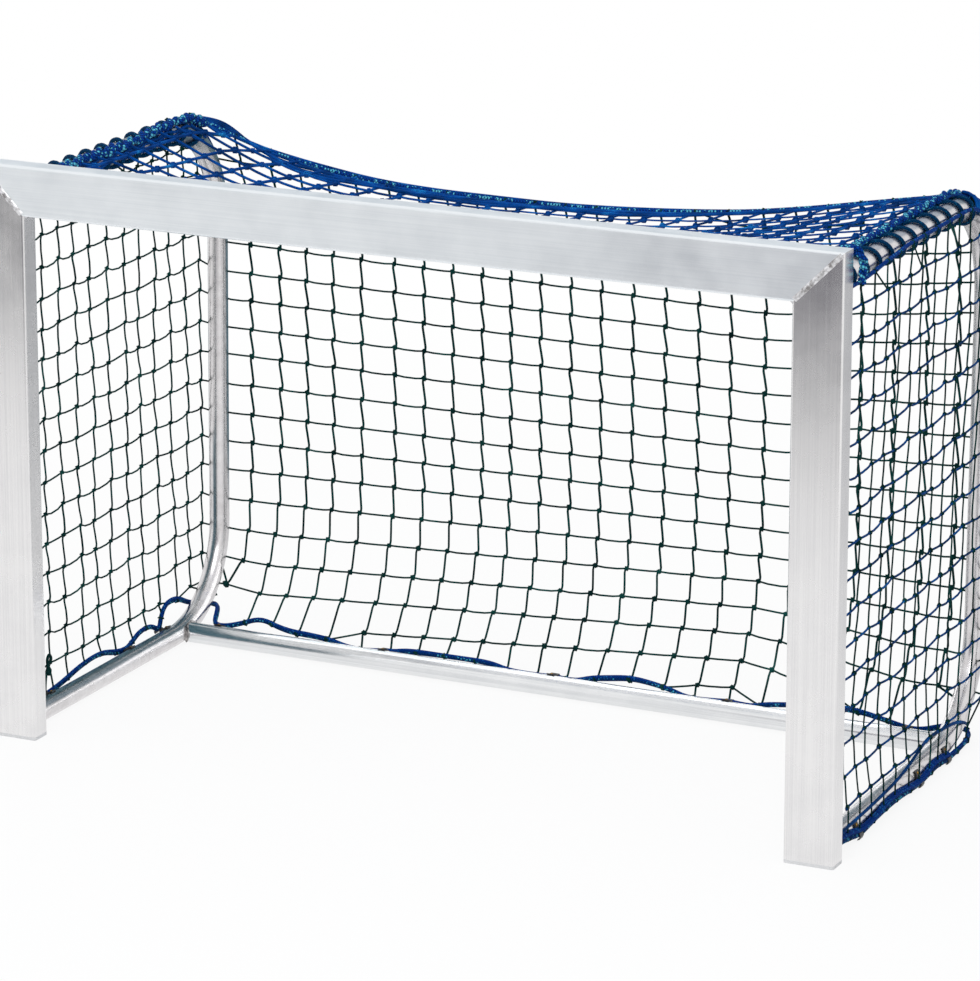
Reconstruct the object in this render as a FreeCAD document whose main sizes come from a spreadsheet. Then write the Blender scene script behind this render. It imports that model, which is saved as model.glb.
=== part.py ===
import FreeCAD, Part

import math
import os

import Sketcher
from FreeCAD import Placement, Rotation, Vector

# Small training goal: a welded aluminium front frame, two bent side hoops, a ground tube
# between them and a knotted net laced to the hoops. Millimetres, +Z up, the mouth faces -Y.
# Every size is written once in the sheet; the model is laid out from the mouth's middle on
# the frame's front face and then moved back so that the origin is at the bottom centre.

SIZES = [
    ("mouth_width", 1200, "clear width between the posts"),
    ("mouth_height", 800, "clear height under the crossbar"),
    ("profile_face", 75, "front frame profile, wide side"),
    ("profile_depth", 36, "front frame profile, deep side"),
    ("profile_wall", 2, "front frame profile, wall"),
    ("profile_round", 4, "front frame profile, outer rounding"),
    ("cap_height", 5, "foot cap flange"),
    ("cap_plug", 22, "foot cap plug inside the post"),
    ("cap_clearance", 0.3, "plug to post wall"),
    ("bead_width", 8, "weld bead along a mitre"),
    ("bead_crown", 1.4, "weld bead crown"),
    ("bead_inset", 5, "weld bead short of the mitre's ends"),
    ("weld_leg", 4, "fillet weld leg round a tube end"),
    ("weld_floor_gap", 1.2, "fillet welds at a foot stop above the floor"),
    ("tube_radius", 16, "hoop and ground tube"),
    ("hoop_outset", 41, "tube axis outboard of the mouth's side"),
    ("hoop_rise", 26, "top tube axis above the mouth's top"),
    ("bend_radius", 155, "hoop bends, on the axis"),
    ("upright_top_depth", 660, "upper end of the straight upright, behind the front face"),
    ("upright_foot_depth", 653, "lower end of the straight upright, behind the front face"),
    ("rear_tube_inset", 126, "ground tube axis in front of the upright's lower end"),
    ("cope_inset", 13, "ground tube end short of the hoop's axis"),
    ("seat_gap", 0.3, "play between soft pieces and what they lie on"),
    ("lace_radius", 3, "lacing rope"),
    ("lace_turns", 11, "lacing turns on each top tube"),
    ("lace_start", 62, "first turn behind the front face"),
    ("lace_end", 12.6, "last turn short of where the top ropes leave the bend"),
    ("edge_rope_radius", 3, "net's edge rope"),
    ("border_rope_radius", 3.5, "rope along the ground and over the back"),
    ("inner_rope_angle", 140, "inner rope on the top tube, from outward level"),
    ("outer_rope_angle", -25, "outer rope on the top tube, from outward level"),
    ("rope_corner_angle", 32, "where the top ropes leave the bend"),
    ("clip_wall", 2, "net clip wall"),
    ("clip_width", 12, "net clip along the rope"),
    ("clip_mouth", 4, "net clip slot for the rope"),
    ("side_clip_angle", -25, "clips on the right ground tube, below level"),
    ("left_clip_angle", 20, "clips on the left ground tube, above level"),
    ("rear_clip_angle", 20, "clips on the rear ground tube, above level"),
    ("rear_clip_inset", 20, "end clips on the rear ground tube, in from the mouth's side"),
    ("side_clip_first", 131, "first clip on a side ground tube, behind the front face"),
    ("side_clip_last", 39, "last clip on a side ground tube, in front of the rear tube's axis"),
    ("side_clip_step", 114, "from the last clip to the one before it"),
    ("post_clip_low", 90, "lowest clip on a post, above the floor"),
    ("post_clip_drop", 60, "highest clip on a post, below the mouth's top"),
    ("post_clip_step", 320, "from the highest clip down to the middle one"),
    ("bar_clip_inset", 96, "end clips on the crossbar, in from the mouth's side"),
    ("right_rope_rise", 6.5, "ground rope's crown between clips, right side"),
    ("left_rope_rise", 14, "ground rope's crown between clips, left side"),
    ("rear_rope_rise", 10, "ground rope's crown between clips, behind"),
    ("front_rope_foot", 46, "lower end of a front rope"),
    ("strand", 3, "net strand"),
    ("mesh", 115, "net opening pitch, coarser than the knotted net"),
    ("net_low_x", -150, "lowest point of the net's back edge"),
    ("net_low_inset", 4, "that point in front of the upright's upper end"),
    ("net_low_drop", 85, "that point below the top tubes' axis"),
    ("net_hang_height", 270, "net leaves the uprights and curves forward"),
]

doc = FreeCAD.newDocument("training_goal")
sheet = doc.addObject("Spreadsheet::Sheet", "Sizes")
for row, (alias, value, note) in enumerate(SIZES, start=1):
    sheet.set("A%d" % row, alias)
    sheet.set("B%d" % row, str(value))
    sheet.set("C%d" % row, note)
    sheet.setAlias("B%d" % row, alias)
doc.recompute()
V = {alias: float(sheet.get(alias)) for alias, value, note in SIZES}

half_mouth = V["mouth_width"] / 2
top_edge = V["mouth_height"] + V["profile_face"]
hoop_x = half_mouth + V["hoop_outset"]
hoop_top = V["mouth_height"] + V["hoop_rise"]
tube = V["tube_radius"]
gap = V["seat_gap"]
bend = V["bend_radius"]
strand = V["strand"]
rear_depth = V["upright_foot_depth"] - V["rear_tube_inset"]
subparts = []


# The hoop's axis in its own plane: depth behind the front face and height.
# The upright leans back: the upper bend turns past a right angle, the lower one less.
lean = math.atan2(V["upright_top_depth"] - V["upright_foot_depth"], hoop_top - tube - 2 * bend)
top_centre = (V["upright_top_depth"] - bend * math.cos(lean), hoop_top - bend)
foot_centre = (V["upright_foot_depth"] - bend * math.cos(lean), tube + bend)
upright_top = (V["upright_top_depth"], top_centre[1] - bend * math.sin(lean))
upright_foot = (V["upright_foot_depth"], foot_centre[1] - bend * math.sin(lean))


def polar(centre, radius, degrees):
    """Point in the hoop's plane; 0 points backwards, 90 up."""
    a = math.radians(degrees)
    return (centre[0] + radius * math.cos(a), centre[1] + radius * math.sin(a))


def hoop_offset_path(offset):
    """The hoop's outline at a distance from its axis: corner points and arc middles."""
    low = -math.degrees(lean)
    r = bend + offset
    return {
        "front_top": (V["profile_depth"], hoop_top + offset),
        "top": (top_centre[0], hoop_top + offset),
        "top_mid": polar(top_centre, r, (90 + low) / 2),
        "upright_top": polar(top_centre, r, low),
        "upright_foot": polar(foot_centre, r, low),
        "foot_mid": polar(foot_centre, r, (-90 + low) / 2),
        "bottom": (foot_centre[0], tube - offset),
        "front_bottom": (V["profile_depth"], tube - offset),
    }


def upright_depth(height):
    """Depth of the upright's axis at a height."""
    return upright_foot[0] + (height - upright_foot[1]) * math.tan(lean)


# The back net's section: a hanging line beside the uprights and a forward curve to the rope.
net_offset = tube + gap + strand / 2
hang = V["net_hang_height"]
net_plane_foot = upright_depth(hang) + net_offset
knee_height = upright_top[1] - 30
net_plane_top = upright_depth(knee_height) + net_offset
rear_most = net_plane_top + strand / 2
front_most = -V["bead_crown"]
origin_y = (front_most + rear_most) / 2
MOVE = Vector(0, -origin_y, 0)


def place(obj, rotation=None, base=None):
    obj.Placement = Placement((base or Vector()) + MOVE, rotation or Rotation())


def keep(obj, name):
    obj.Label = name
    subparts.append(obj)
    return obj


def feature(name, shape):
    """A Part::Feature in front-face coordinates, moved to the origin."""
    obj = doc.addObject("Part::Feature", name)
    obj.Shape = shape
    place(obj)
    return keep(obj, name)


def origin_plane(body, role):
    return [f for f in body.Origin.OriginFeatures if f.Role == role][0]


def sketch_on(body, role, name):
    sk = body.newObject("Sketcher::SketchObject", name)
    sk.AttachmentSupport = [(origin_plane(body, role), "")]
    sk.MapMode = "FlatFace"
    return sk


def bind(sk, index, expression):
    sk.setExpression("Constraints[%d]" % index, expression)


def rounded_loop(sk, wide, high, radius, names):
    """Rounded rectangle about the sketch's origin; names bind its rounding, width and height."""
    n = sk.GeometryCount
    a, b, r = wide / 2, high / 2, radius
    lines = [((r - a, -b), (a - r, -b)), ((a, r - b), (a, b - r)),
             ((a - r, b), (r - a, b)), ((-a, b - r), (-a, r - b))]
    arcs = [((a - r, r - b), -90), ((a - r, b - r), 0), ((r - a, b - r), 90), ((r - a, r - b), 180)]
    for (p, q), (c, start) in zip(lines, arcs):
        sk.addGeometry(Part.LineSegment(Vector(p[0], p[1], 0), Vector(q[0], q[1], 0)), False)
        circle = Part.Circle(Vector(c[0], c[1], 0), Vector(0, 0, 1), r)
        sk.addGeometry(Part.ArcOfCircle(circle, math.radians(start), math.radians(start + 90)), False)
    for i in range(4):
        line, arc, after = n + 2 * i, n + 2 * i + 1, n + (2 * i + 2) % 8
        sk.addConstraint(Sketcher.Constraint("Tangent", line, 2, arc, 1))
        sk.addConstraint(Sketcher.Constraint("Tangent", arc, 2, after, 1))
        if i:
            sk.addConstraint(Sketcher.Constraint("Equal", n + 1, arc))
    sk.addConstraint(Sketcher.Constraint("Horizontal", n))
    sk.addConstraint(Sketcher.Constraint("Vertical", n + 2))
    sk.addConstraint(Sketcher.Constraint("Symmetric", n, 1, n + 4, 1, -1, 1))
    bind(sk, sk.addConstraint(Sketcher.Constraint("Radius", n + 1, r)), names[0])
    bind(sk, sk.addConstraint(Sketcher.Constraint("DistanceX", n + 6, 1, n + 2, 1, wide)), names[1])
    bind(sk, sk.addConstraint(Sketcher.Constraint("DistanceY", n, 1, n + 4, 1, high)), names[2])


def profile_section(name, wide, high, wide_name, high_name):
    """Hollow frame profile's section, centred on its axis."""
    sk = doc.addObject("Sketcher::SketchObject", name)
    wall, rnd = V["profile_wall"], V["profile_round"]
    rounded_loop(sk, wide, high, rnd, ("Sizes.profile_round", wide_name, high_name))
    rounded_loop(sk, wide - 2 * wall, high - 2 * wall, rnd / 2,
                 ("Sizes.profile_round / 2", wide_name + " - 2 * Sizes.profile_wall",
                  high_name + " - 2 * Sizes.profile_wall"))
    return sk


def prism(name, base, direction, length, expression):
    obj = doc.addObject("Part::Extrusion", name)
    obj.Base = base
    obj.DirMode = "Custom"
    obj.Dir = direction
    obj.Solid = True
    obj.LengthFwd = length
    obj.setExpression("LengthFwd", expression)
    return obj


def mitre_cutter(name, side, above):
    """Box whose one face is the 45 degree plane through the mouth's top corner on that side."""
    box = doc.addObject("Part::Box", name)
    for prop, k in (("Length", 4), ("Height", 4)):
        setattr(box, prop, k * V["profile_face"])
        box.setExpression(prop, "%d * Sizes.profile_face" % k)
    box.Width = 3 * V["profile_depth"]
    box.setExpression("Width", "3 * Sizes.profile_depth")
    face = V["profile_face"]
    # Box local X runs outwards and up along the mitre, local Z away from the bar that is kept.
    turn = Rotation(Vector(0, 1, 0), -45 if side > 0 else -135)
    if (side > 0) != above:
        turn = turn.multiply(Rotation(Vector(1, 0, 0), 180))
    u = turn.multVec(Vector(1, 0, 0))
    v = turn.multVec(Vector(0, 1, 0))
    depth = V["profile_depth"]
    start = Vector(side * half_mouth, depth / 2, V["mouth_height"]) - u * face - v * (1.5 * depth) + MOVE
    box.Placement = Placement(start, turn)
    box.setExpression("Placement.Base.x", "%d * Sizes.mouth_width / 2 - %.9f * Sizes.profile_face" % (side, u.x))
    box.setExpression("Placement.Base.z", "Sizes.mouth_height - %.9f * Sizes.profile_face" % u.z)
    return box


def cut(name, base, tool):
    obj = doc.addObject("Part::Cut", name)
    obj.Base = base
    obj.Tool = tool
    return obj


def make_post(name, side):
    """Upright of the front frame, from its foot cap to the mitre."""
    sk = profile_section(name + "_section", V["profile_face"], V["profile_depth"],
                         "Sizes.profile_face", "Sizes.profile_depth")
    sk.Placement = Placement(Vector(side * (half_mouth + V["profile_face"] / 2), V["profile_depth"] / 2,
                                    V["cap_height"]) + MOVE, Rotation())
    sk.setExpression("Placement.Base.x", "%d * (Sizes.mouth_width + Sizes.profile_face) / 2" % side)
    sk.setExpression("Placement.Base.z", "Sizes.cap_height")
    bar = prism(name + "_bar", sk, Vector(0, 0, 1), top_edge - V["cap_height"],
                "Sizes.mouth_height + Sizes.profile_face - Sizes.cap_height")
    return keep(cut(name, bar, mitre_cutter(name + "_mitre", side, True)), name)


def make_crossbar():
    """Top of the front frame, mitred at both ends."""
    sk = profile_section("crossbar_section", V["profile_depth"], V["profile_face"],
                         "Sizes.profile_depth", "Sizes.profile_face")
    outer = half_mouth + V["profile_face"]
    # Sketch X lies along the frame's depth and sketch Y up.
    turn = Rotation(Vector(0, 1, 0), Vector(0, 0, 1), Vector(1, 0, 0), "ZXY")
    sk.Placement = Placement(Vector(-outer, V["profile_depth"] / 2, V["mouth_height"] + V["profile_face"] / 2) + MOVE, turn)
    sk.setExpression("Placement.Base.x", "-(Sizes.mouth_width / 2 + Sizes.profile_face)")
    sk.setExpression("Placement.Base.z", "Sizes.mouth_height + Sizes.profile_face / 2")
    bar = prism("crossbar_bar", sk, Vector(1, 0, 0), 2 * outer, "Sizes.mouth_width + 2 * Sizes.profile_face")
    one = cut("crossbar_left_end", bar, mitre_cutter("crossbar_left_mitre", -1, False))
    return keep(cut("crossbar", one, mitre_cutter("crossbar_right_mitre", 1, False)), "crossbar")


def make_cap(name, side):
    """Plastic foot: a flange the size of the profile and a plug inside it."""
    body = doc.addObject("PartDesign::Body", name)
    flange = sketch_on(body, "XY_Plane", name + "_flange_outline")
    rounded_loop(flange, V["profile_face"], V["profile_depth"], V["profile_round"],
                 ("Sizes.profile_round", "Sizes.profile_face", "Sizes.profile_depth"))
    pad = body.newObject("PartDesign::Pad", name + "_flange")
    pad.Profile = flange
    pad.Length = V["cap_height"]
    pad.setExpression("Length", "Sizes.cap_height")
    plug = sketch_on(body, "XY_Plane", name + "_plug_outline")
    less = 2 * (V["profile_wall"] + V["cap_clearance"])
    less_expr = " - 2 * (Sizes.profile_wall + Sizes.cap_clearance)"
    rounded_loop(plug, V["profile_face"] - less, V["profile_depth"] - less, V["profile_round"] / 2,
                 ("Sizes.profile_round / 2", "Sizes.profile_face" + less_expr, "Sizes.profile_depth" + less_expr))
    stub = body.newObject("PartDesign::Pad", name + "_plug")
    stub.Profile = plug
    stub.Length = V["cap_height"] + V["cap_plug"]
    stub.setExpression("Length", "Sizes.cap_height + Sizes.cap_plug")
    body.Tip = stub
    body.Placement = Placement(Vector(side * (half_mouth + V["profile_face"] / 2), V["profile_depth"] / 2, 0) + MOVE,
                               Rotation())
    body.setExpression("Placement.Base.x", "%d * (Sizes.mouth_width + Sizes.profile_face) / 2" % side)
    return keep(body, name)


def make_hoop(name, side):
    """Side hoop: one bent tube from the post's head, back, down and forward along the ground."""
    body = doc.addObject("PartDesign::Body", name)
    path = sketch_on(body, "YZ_Plane", name + "_axis")
    at = hoop_offset_path(0)

    def line(a, b):
        path.addGeometry(Part.LineSegment(Vector(a[0], a[1], 0), Vector(b[0], b[1], 0)), False)

    def arc(centre, start, end):
        circle = Part.Circle(Vector(centre[0], centre[1], 0), Vector(0, 0, 1), bend)
        path.addGeometry(Part.ArcOfCircle(circle, math.radians(start), math.radians(end)), False)

    low = -math.degrees(lean)
    line(at["front_top"], at["top"])
    arc(top_centre, low, 90)
    line(at["upright_top"], at["upright_foot"])
    arc(foot_centre, -90, low)
    line(at["bottom"], at["front_bottom"])
    for a, i, b, j in ((0, 2, 1, 2), (1, 1, 2, 1), (2, 2, 3, 2), (3, 1, 4, 1)):
        path.addConstraint(Sketcher.Constraint("Tangent", a, i, b, j))
    path.addConstraint(Sketcher.Constraint("Horizontal", 0))
    path.addConstraint(Sketcher.Constraint("Horizontal", 4))
    path.addConstraint(Sketcher.Constraint("Equal", 1, 3))
    depth = V["profile_depth"]
    for kind, geo, pos, value, expression in (
            ("DistanceX", 0, 1, depth, "Sizes.profile_depth"),
            ("DistanceY", 0, 1, hoop_top, "Sizes.mouth_height + Sizes.hoop_rise"),
            ("DistanceX", 4, 2, depth, "Sizes.profile_depth"),
            ("DistanceY", 4, 2, tube, "Sizes.tube_radius"),
            ("DistanceX", 2, 1, upright_top[0], "Sizes.upright_top_depth"),
            ("DistanceX", 2, 2, upright_foot[0], "Sizes.upright_foot_depth")):
        bind(path, path.addConstraint(Sketcher.Constraint(kind, -1, 1, geo, pos, value)), expression)
    bind(path, path.addConstraint(Sketcher.Constraint("Radius", 1, bend)), "Sizes.bend_radius")
    section = sketch_on(body, "XZ_Plane", name + "_section")
    section.AttachmentOffset = Placement(Vector(0, 0, -depth), Rotation())
    section.setExpression("AttachmentOffset.Base.z", "-Sizes.profile_depth")
    section.addGeometry(Part.Circle(Vector(0, hoop_top, 0), Vector(0, 0, 1), tube), False)
    section.addConstraint(Sketcher.Constraint("PointOnObject", 0, 3, -2))
    bind(section, section.addConstraint(Sketcher.Constraint("DistanceY", -1, 1, 0, 3, hoop_top)),
         "Sizes.mouth_height + Sizes.hoop_rise")
    bind(section, section.addConstraint(Sketcher.Constraint("Radius", 0, tube)), "Sizes.tube_radius")
    doc.recompute()
    pipe = body.newObject("PartDesign::AdditivePipe", name + "_tube")
    pipe.Profile = section
    pipe.Spine = path
    body.Placement = Placement(Vector(side * hoop_x, 0, 0) + MOVE, Rotation())
    body.setExpression("Placement.Base.x", "%d * (Sizes.mouth_width / 2 + Sizes.hoop_outset)" % side)
    return keep(body, name)


def make_rear_tube(left, right):
    """Ground tube, its ends coped over the hoops."""
    bar = doc.addObject("Part::Cylinder", "rear_tube_bar")
    bar.Radius = tube
    bar.setExpression("Radius", "Sizes.tube_radius")
    length = 2 * (hoop_x - V["cope_inset"])
    bar.Height = length
    bar.setExpression("Height", "Sizes.mouth_width + 2 * (Sizes.hoop_outset - Sizes.cope_inset)")
    bar.Placement = Placement(Vector(-length / 2, rear_depth, tube) + MOVE, Rotation(Vector(0, 1, 0), 90))
    bar.setExpression("Placement.Base.x", "-(Sizes.mouth_width / 2 + Sizes.hoop_outset - Sizes.cope_inset)")
    bar.setExpression("Placement.Base.z", "Sizes.tube_radius")
    one = cut("rear_tube_left_cope", bar, left)
    return keep(cut("rear_ground_tube", one, right), "rear_ground_tube")


def solid_of(shape):
    """The shape as clean solids."""
    solids = [s for s in shape.Solids if s.Volume > 0.5]
    return solids[0] if len(solids) == 1 else Part.makeCompound(solids)


def extrude_section(points, through, direction):
    """Face from straight and three-point arc edges, extruded; through[i] is an arc's middle or None."""
    edges = []
    for i, p in enumerate(points):
        q = points[(i + 1) % len(points)]
        mid = through[i]
        edges.append(Part.LineSegment(p, q).toShape() if mid is None else Part.Arc(p, mid, q).toShape())
    return Part.Face(Part.Wire(edges)).extrude(direction)


def mitre_bead(side, y, outward):
    """Weld bead over the mitre on a face of the frame, a flat-backed bar with a round crown."""
    run = Vector(side, 0, 1).normalize()
    across = Vector(-side, 0, 1).normalize() * (V["bead_width"] / 2)
    up = Vector(0, outward, 0) * V["bead_crown"]
    corner = Vector(side * half_mouth, y, V["mouth_height"])
    length = V["profile_face"] * math.sqrt(2) - 2 * V["bead_inset"]
    start = corner + run * V["bead_inset"]
    return extrude_section([start - across, start + across], [start + up, None], run * length)


def corner_fillet(side):
    """Small fillet weld inside the mouth's top corner."""
    leg = V["weld_leg"]
    p = Vector(side * half_mouth, V["profile_round"], V["mouth_height"])
    pts = [p, p + Vector(-side * leg, 0, 0), p + Vector(0, 0, -leg)]
    return extrude_section(pts, [None, None, None], Vector(0, V["profile_depth"] - 2 * V["profile_round"], 0))


def ring_weld(radius, leg, centre, axis):
    """Fillet weld round a tube that stands on a flat face."""
    outer = Part.makeCone(radius + leg, radius + 0.05, leg, centre, axis)
    return outer.cut(Part.makeCylinder(radius, 3 * leg, centre - axis * leg, axis))


def make_corner_welds(name, side):
    depth = V["profile_depth"]
    back = mitre_bead(side, depth, 1)
    room = Part.makeCylinder(tube + V["weld_leg"] + gap, 20, Vector(side * hoop_x, depth - 5, hoop_top), Vector(0, 1, 0))
    pieces = [mitre_bead(side, 0, -1)] + back.cut(room).Solids + [corner_fillet(side)]
    return feature(name, Part.makeCompound(pieces))


def above_floor(shape):
    """What of a foot weld a torch can reach above the floor."""
    box = shape.BoundBox
    low = Vector(box.XMin - 10, box.YMin - 10, V["weld_floor_gap"] - 60)
    floor = Part.makeBox(box.XLength + 20, box.YLength + 20, 60, low)
    return shape.cut(floor)


def make_hoop_welds():
    """Fillet welds round the hoops' ends on the posts."""
    depth, leg = V["profile_depth"], V["weld_leg"]
    back = Vector(0, 1, 0)
    rings = []
    for side in (-1, 1):
        rings += ring_weld(tube, leg, Vector(side * hoop_x, depth, hoop_top), back).Solids
        rings += above_floor(ring_weld(tube, leg, Vector(side * hoop_x, depth, tube), back)).Solids
    return feature("hoop_welds", Part.makeCompound(rings))


def hoop_wire(side, offset=0.0):
    at = hoop_offset_path(offset)

    def v(key):
        return Vector(side * hoop_x, at[key][0], at[key][1])

    return Part.Wire([
        Part.LineSegment(v("front_top"), v("top")).toShape(),
        Part.Arc(v("top"), v("top_mid"), v("upright_top")).toShape(),
        Part.LineSegment(v("upright_top"), v("upright_foot")).toShape(),
        Part.Arc(v("upright_foot"), v("foot_mid"), v("bottom")).toShape(),
        Part.LineSegment(v("bottom"), v("front_bottom")).toShape()])


def hoop_solid(side, radius):
    """The hoop with another outer radius, for clearances and weld collars."""
    at = hoop_offset_path(0)["front_top"]
    ring = Part.Wire(Part.makeCircle(radius, Vector(side * hoop_x, at[0], at[1]), Vector(0, 1, 0)))
    return hoop_wire(side).makePipeShell([ring], True, False)


def make_rear_welds():
    """Collars where the ground tube's coped ends meet the hoops."""
    leg = V["weld_leg"]
    pieces = []
    for side in (-1, 1):
        axis = Vector(side, 0, 0)
        start = Vector(side * (hoop_x - 3 * tube), rear_depth, tube)
        stub = Part.makeCylinder(tube + leg * 0.7, 3 * tube - V["cope_inset"], start, axis)
        stub = stub.cut(Part.makeCylinder(tube, 3 * tube, start - axis * 5, axis))
        collar = stub.common(hoop_solid(side, tube + leg)).cut(hoop_solid(side, tube))
        pieces += [s for s in above_floor(collar).Solids if s.Volume > 20]
    return feature("rear_tube_welds", Part.makeCompound(pieces))


left_post = make_post("left_post", -1)
right_post = make_post("right_post", 1)
crossbar = make_crossbar()
make_cap("left_foot_cap", -1)
make_cap("right_foot_cap", 1)
left_hoop = make_hoop("left_hoop", -1)
right_hoop = make_hoop("right_hoop", 1)
doc.recompute()
make_rear_tube(left_hoop, right_hoop)
make_corner_welds("left_corner_weld", -1)
make_corner_welds("right_corner_weld", 1)
make_hoop_welds()
make_rear_welds()


def route(points, label=None):
    """Straight runs joined by tangent arcs through the points; returns the wire and its length."""
    pts = [Vector(*p) for p in points]
    radii = []
    edges = []
    start = pts[0]
    for before, at, after in zip(pts, pts[1:], pts[2:]):
        u, w = (at - before), (after - at)
        run = min(u.Length, w.Length)
        u.normalize()
        w.normalize()
        turn = u.getAngle(w)
        if turn < 1e-4:
            continue
        radius = 0.45 * run / math.tan(turn / 2)
        radii.append(radius)
        reach = 0.45 * run
        a, b = at - u * reach, at + w * reach
        mid_dir = (w - u)
        mid_dir.normalize()
        mid = at + mid_dir * (radius / math.cos(turn / 2) - radius)
        if (a - start).Length > 1e-4:
            edges.append(Part.LineSegment(start, a).toShape())
        edges.append(Part.Arc(a, mid, b).toShape())
        start = b
    edges.append(Part.LineSegment(start, pts[-1]).toShape())
    wire = Part.Wire(edges)
    if label and radii:
        print("%-20s route %6.0f mm, least radius %5.1f" % (label, wire.Length, min(radii)))
    return wire


CORD_SIDES = 5


def cord_section(at, along, radius):
    """Faceted section of a cord, its corners on the radius."""
    side = along.cross(Vector(0, 0, 1))
    if side.Length < 0.1:
        side = along.cross(Vector(0, 1, 0))
    side.normalize()
    other = along.cross(side)
    other.normalize()
    corners = []
    for i in range(CORD_SIDES):
        a = 2 * math.pi * i / CORD_SIDES
        corners.append(at + side * (radius * math.cos(a)) + other * (radius * math.sin(a)))
    return Part.makePolygon(corners + corners[:1])


def rope_on(wire, radius, label=None):
    """Faceted rope along a tangent wire, its volume compared with section times length."""
    first = wire.Edges[0]
    section = cord_section(first.valueAt(first.FirstParameter), first.tangentAt(first.FirstParameter), radius)
    solid = wire.makePipeShell([section], True, False)
    want = CORD_SIDES / 2.0 * radius ** 2 * math.sin(2 * math.pi / CORD_SIDES) * wire.Length
    if abs(solid.Volume / want - 1) > 0.02 or not solid.isValid():
        raise RuntimeError("rope %s: volume %.0f against %.0f" % (label, solid.Volume, want))
    return solid


def half_arc(a, ta, b, tb):
    """Two tangent arcs from a to b with the given end tangents."""
    v, t = b - a, ta + tb
    k = 2 * (1 - ta.dot(tb))
    vt = v.dot(t)
    d = (-vt + math.sqrt(vt * vt + k * v.dot(v))) / k if k > 1e-9 else v.dot(v) / (2 * vt)
    q1, q2 = a + ta * d, b - tb * d
    m = (q1 + q2) * 0.5
    out = []
    for p, q, r in ((a, q1, m), (m, q2, b)):
        c = (p + r) * 0.5
        cos_a = (r - p).Length / 2 / (q - p).Length
        out.append(Part.Arc(p, c + (q - c) * (cos_a / (1 + cos_a)), r).toShape())
    return out


rope_r, lace_r, edge_r = V["border_rope_radius"], V["lace_radius"], V["edge_rope_radius"]
straight_top = top_centre[0] - V["profile_depth"]
edge_reach = tube + gap + 2 * lace_r + gap + edge_r


def on_top_tube(side, s, reach, degrees):
    """Point beside the top tube: s along its axis from the front, reach from it, angle from outward."""
    a = math.radians(degrees)
    turn = max(0.0, (s - straight_top) / bend)
    y = V["profile_depth"] + min(s, straight_top) + (bend + reach * math.sin(a)) * math.sin(turn)
    z = top_centre[1] + (bend + reach * math.sin(a)) * math.cos(turn)
    return Vector(side * (hoop_x + reach * math.cos(a)), y, z)


def make_lacing():
    """Lacing rope wound round both top tubes, one unbroken tube on each side."""
    reach = tube + gap + lace_r
    pieces = []
    for side in (-1, 1):
        s0 = V["lace_start"] - V["profile_depth"]
        pitch = (corner_s - V["lace_end"] - s0) / V["lace_turns"]
        first = V["inner_rope_angle"]

        def at(turns):
            return on_top_tube(side, s0 + turns * pitch, reach, first - 360 * turns)

        def tangent(turns):
            t = at(turns + 1e-4) - at(turns - 1e-4)
            return t.normalize()

        edges = [Part.LineSegment(at(0) - tangent(0) * (2 * lace_r), at(0)).toShape()]
        quarters = int(round(4 * V["lace_turns"]))
        for i in range(quarters):
            a, b = i / 4.0, (i + 1) / 4.0
            edges += half_arc(at(a), tangent(a), at(b), tangent(b))
        end = quarters / 4.0
        edges.append(Part.LineSegment(at(end), at(end) + tangent(end) * (2 * lace_r)).toShape())
        wire = Part.Wire(edges)
        samples = wire.discretize(Number=int(wire.Length / 2))
        per_turn = int(round(len(samples) / V["lace_turns"]))
        least = min((samples[i] - samples[j]).Length for i in range(0, len(samples), 3)
                    for j in range(i + per_turn // 3, min(len(samples), i + 2 * per_turn), 2))
        print("lacing %2d: %d turns, least gap to itself %.1f" % (side, V["lace_turns"], least - 2 * lace_r))
        if least - 2 * lace_r < 0.4:
            raise RuntimeError("lacing turns touch")
        pieces.append(rope_on(wire, lace_r, "lacing"))
    return feature("top_tube_lacing", Part.makeCompound(pieces))


corner_turn = math.radians(V["rope_corner_angle"])
corner_s = straight_top + bend * corner_turn
over_reach = tube + gap + rope_r
edge_end_turn = corner_turn - (rope_r + gap) / (bend + edge_reach)


def make_tube_rope(name, side, degrees):
    """Net's edge rope lying along the lacing, from behind the frame to where the top ropes meet."""
    s_front = V["clip_wall"] + 2 * edge_r + 2 * gap
    start = on_top_tube(side, s_front, edge_reach, degrees)
    knee = on_top_tube(side, straight_top, edge_reach, degrees)
    mid = on_top_tube(side, straight_top + bend * edge_end_turn / 2, edge_reach, degrees)
    end = on_top_tube(side, straight_top + bend * edge_end_turn, edge_reach, degrees)
    wire = Part.Wire([Part.LineSegment(start, knee).toShape(), Part.Arc(knee, mid, end).toShape()])
    return feature(name, rope_on(wire, edge_r, name))


corner_point = on_top_tube(1, corner_s, over_reach, 90)
low = Vector(V["net_low_x"], V["upright_top_depth"] - V["net_low_inset"], hoop_top - V["net_low_drop"])


def back_edge(x):
    """Axis of the sagging rope between the hoops' bends."""
    side = 1 if x > low.x else -1
    span = side * hoop_x - low.x
    share = min(1.0, abs((x - low.x) / span))
    power = 1.7 if side > 0 else 2.0
    k = share ** power
    return Vector(x, low.y + (corner_point.y - low.y) * share ** 2, low.z + (corner_point.z - low.z) * k)


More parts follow.
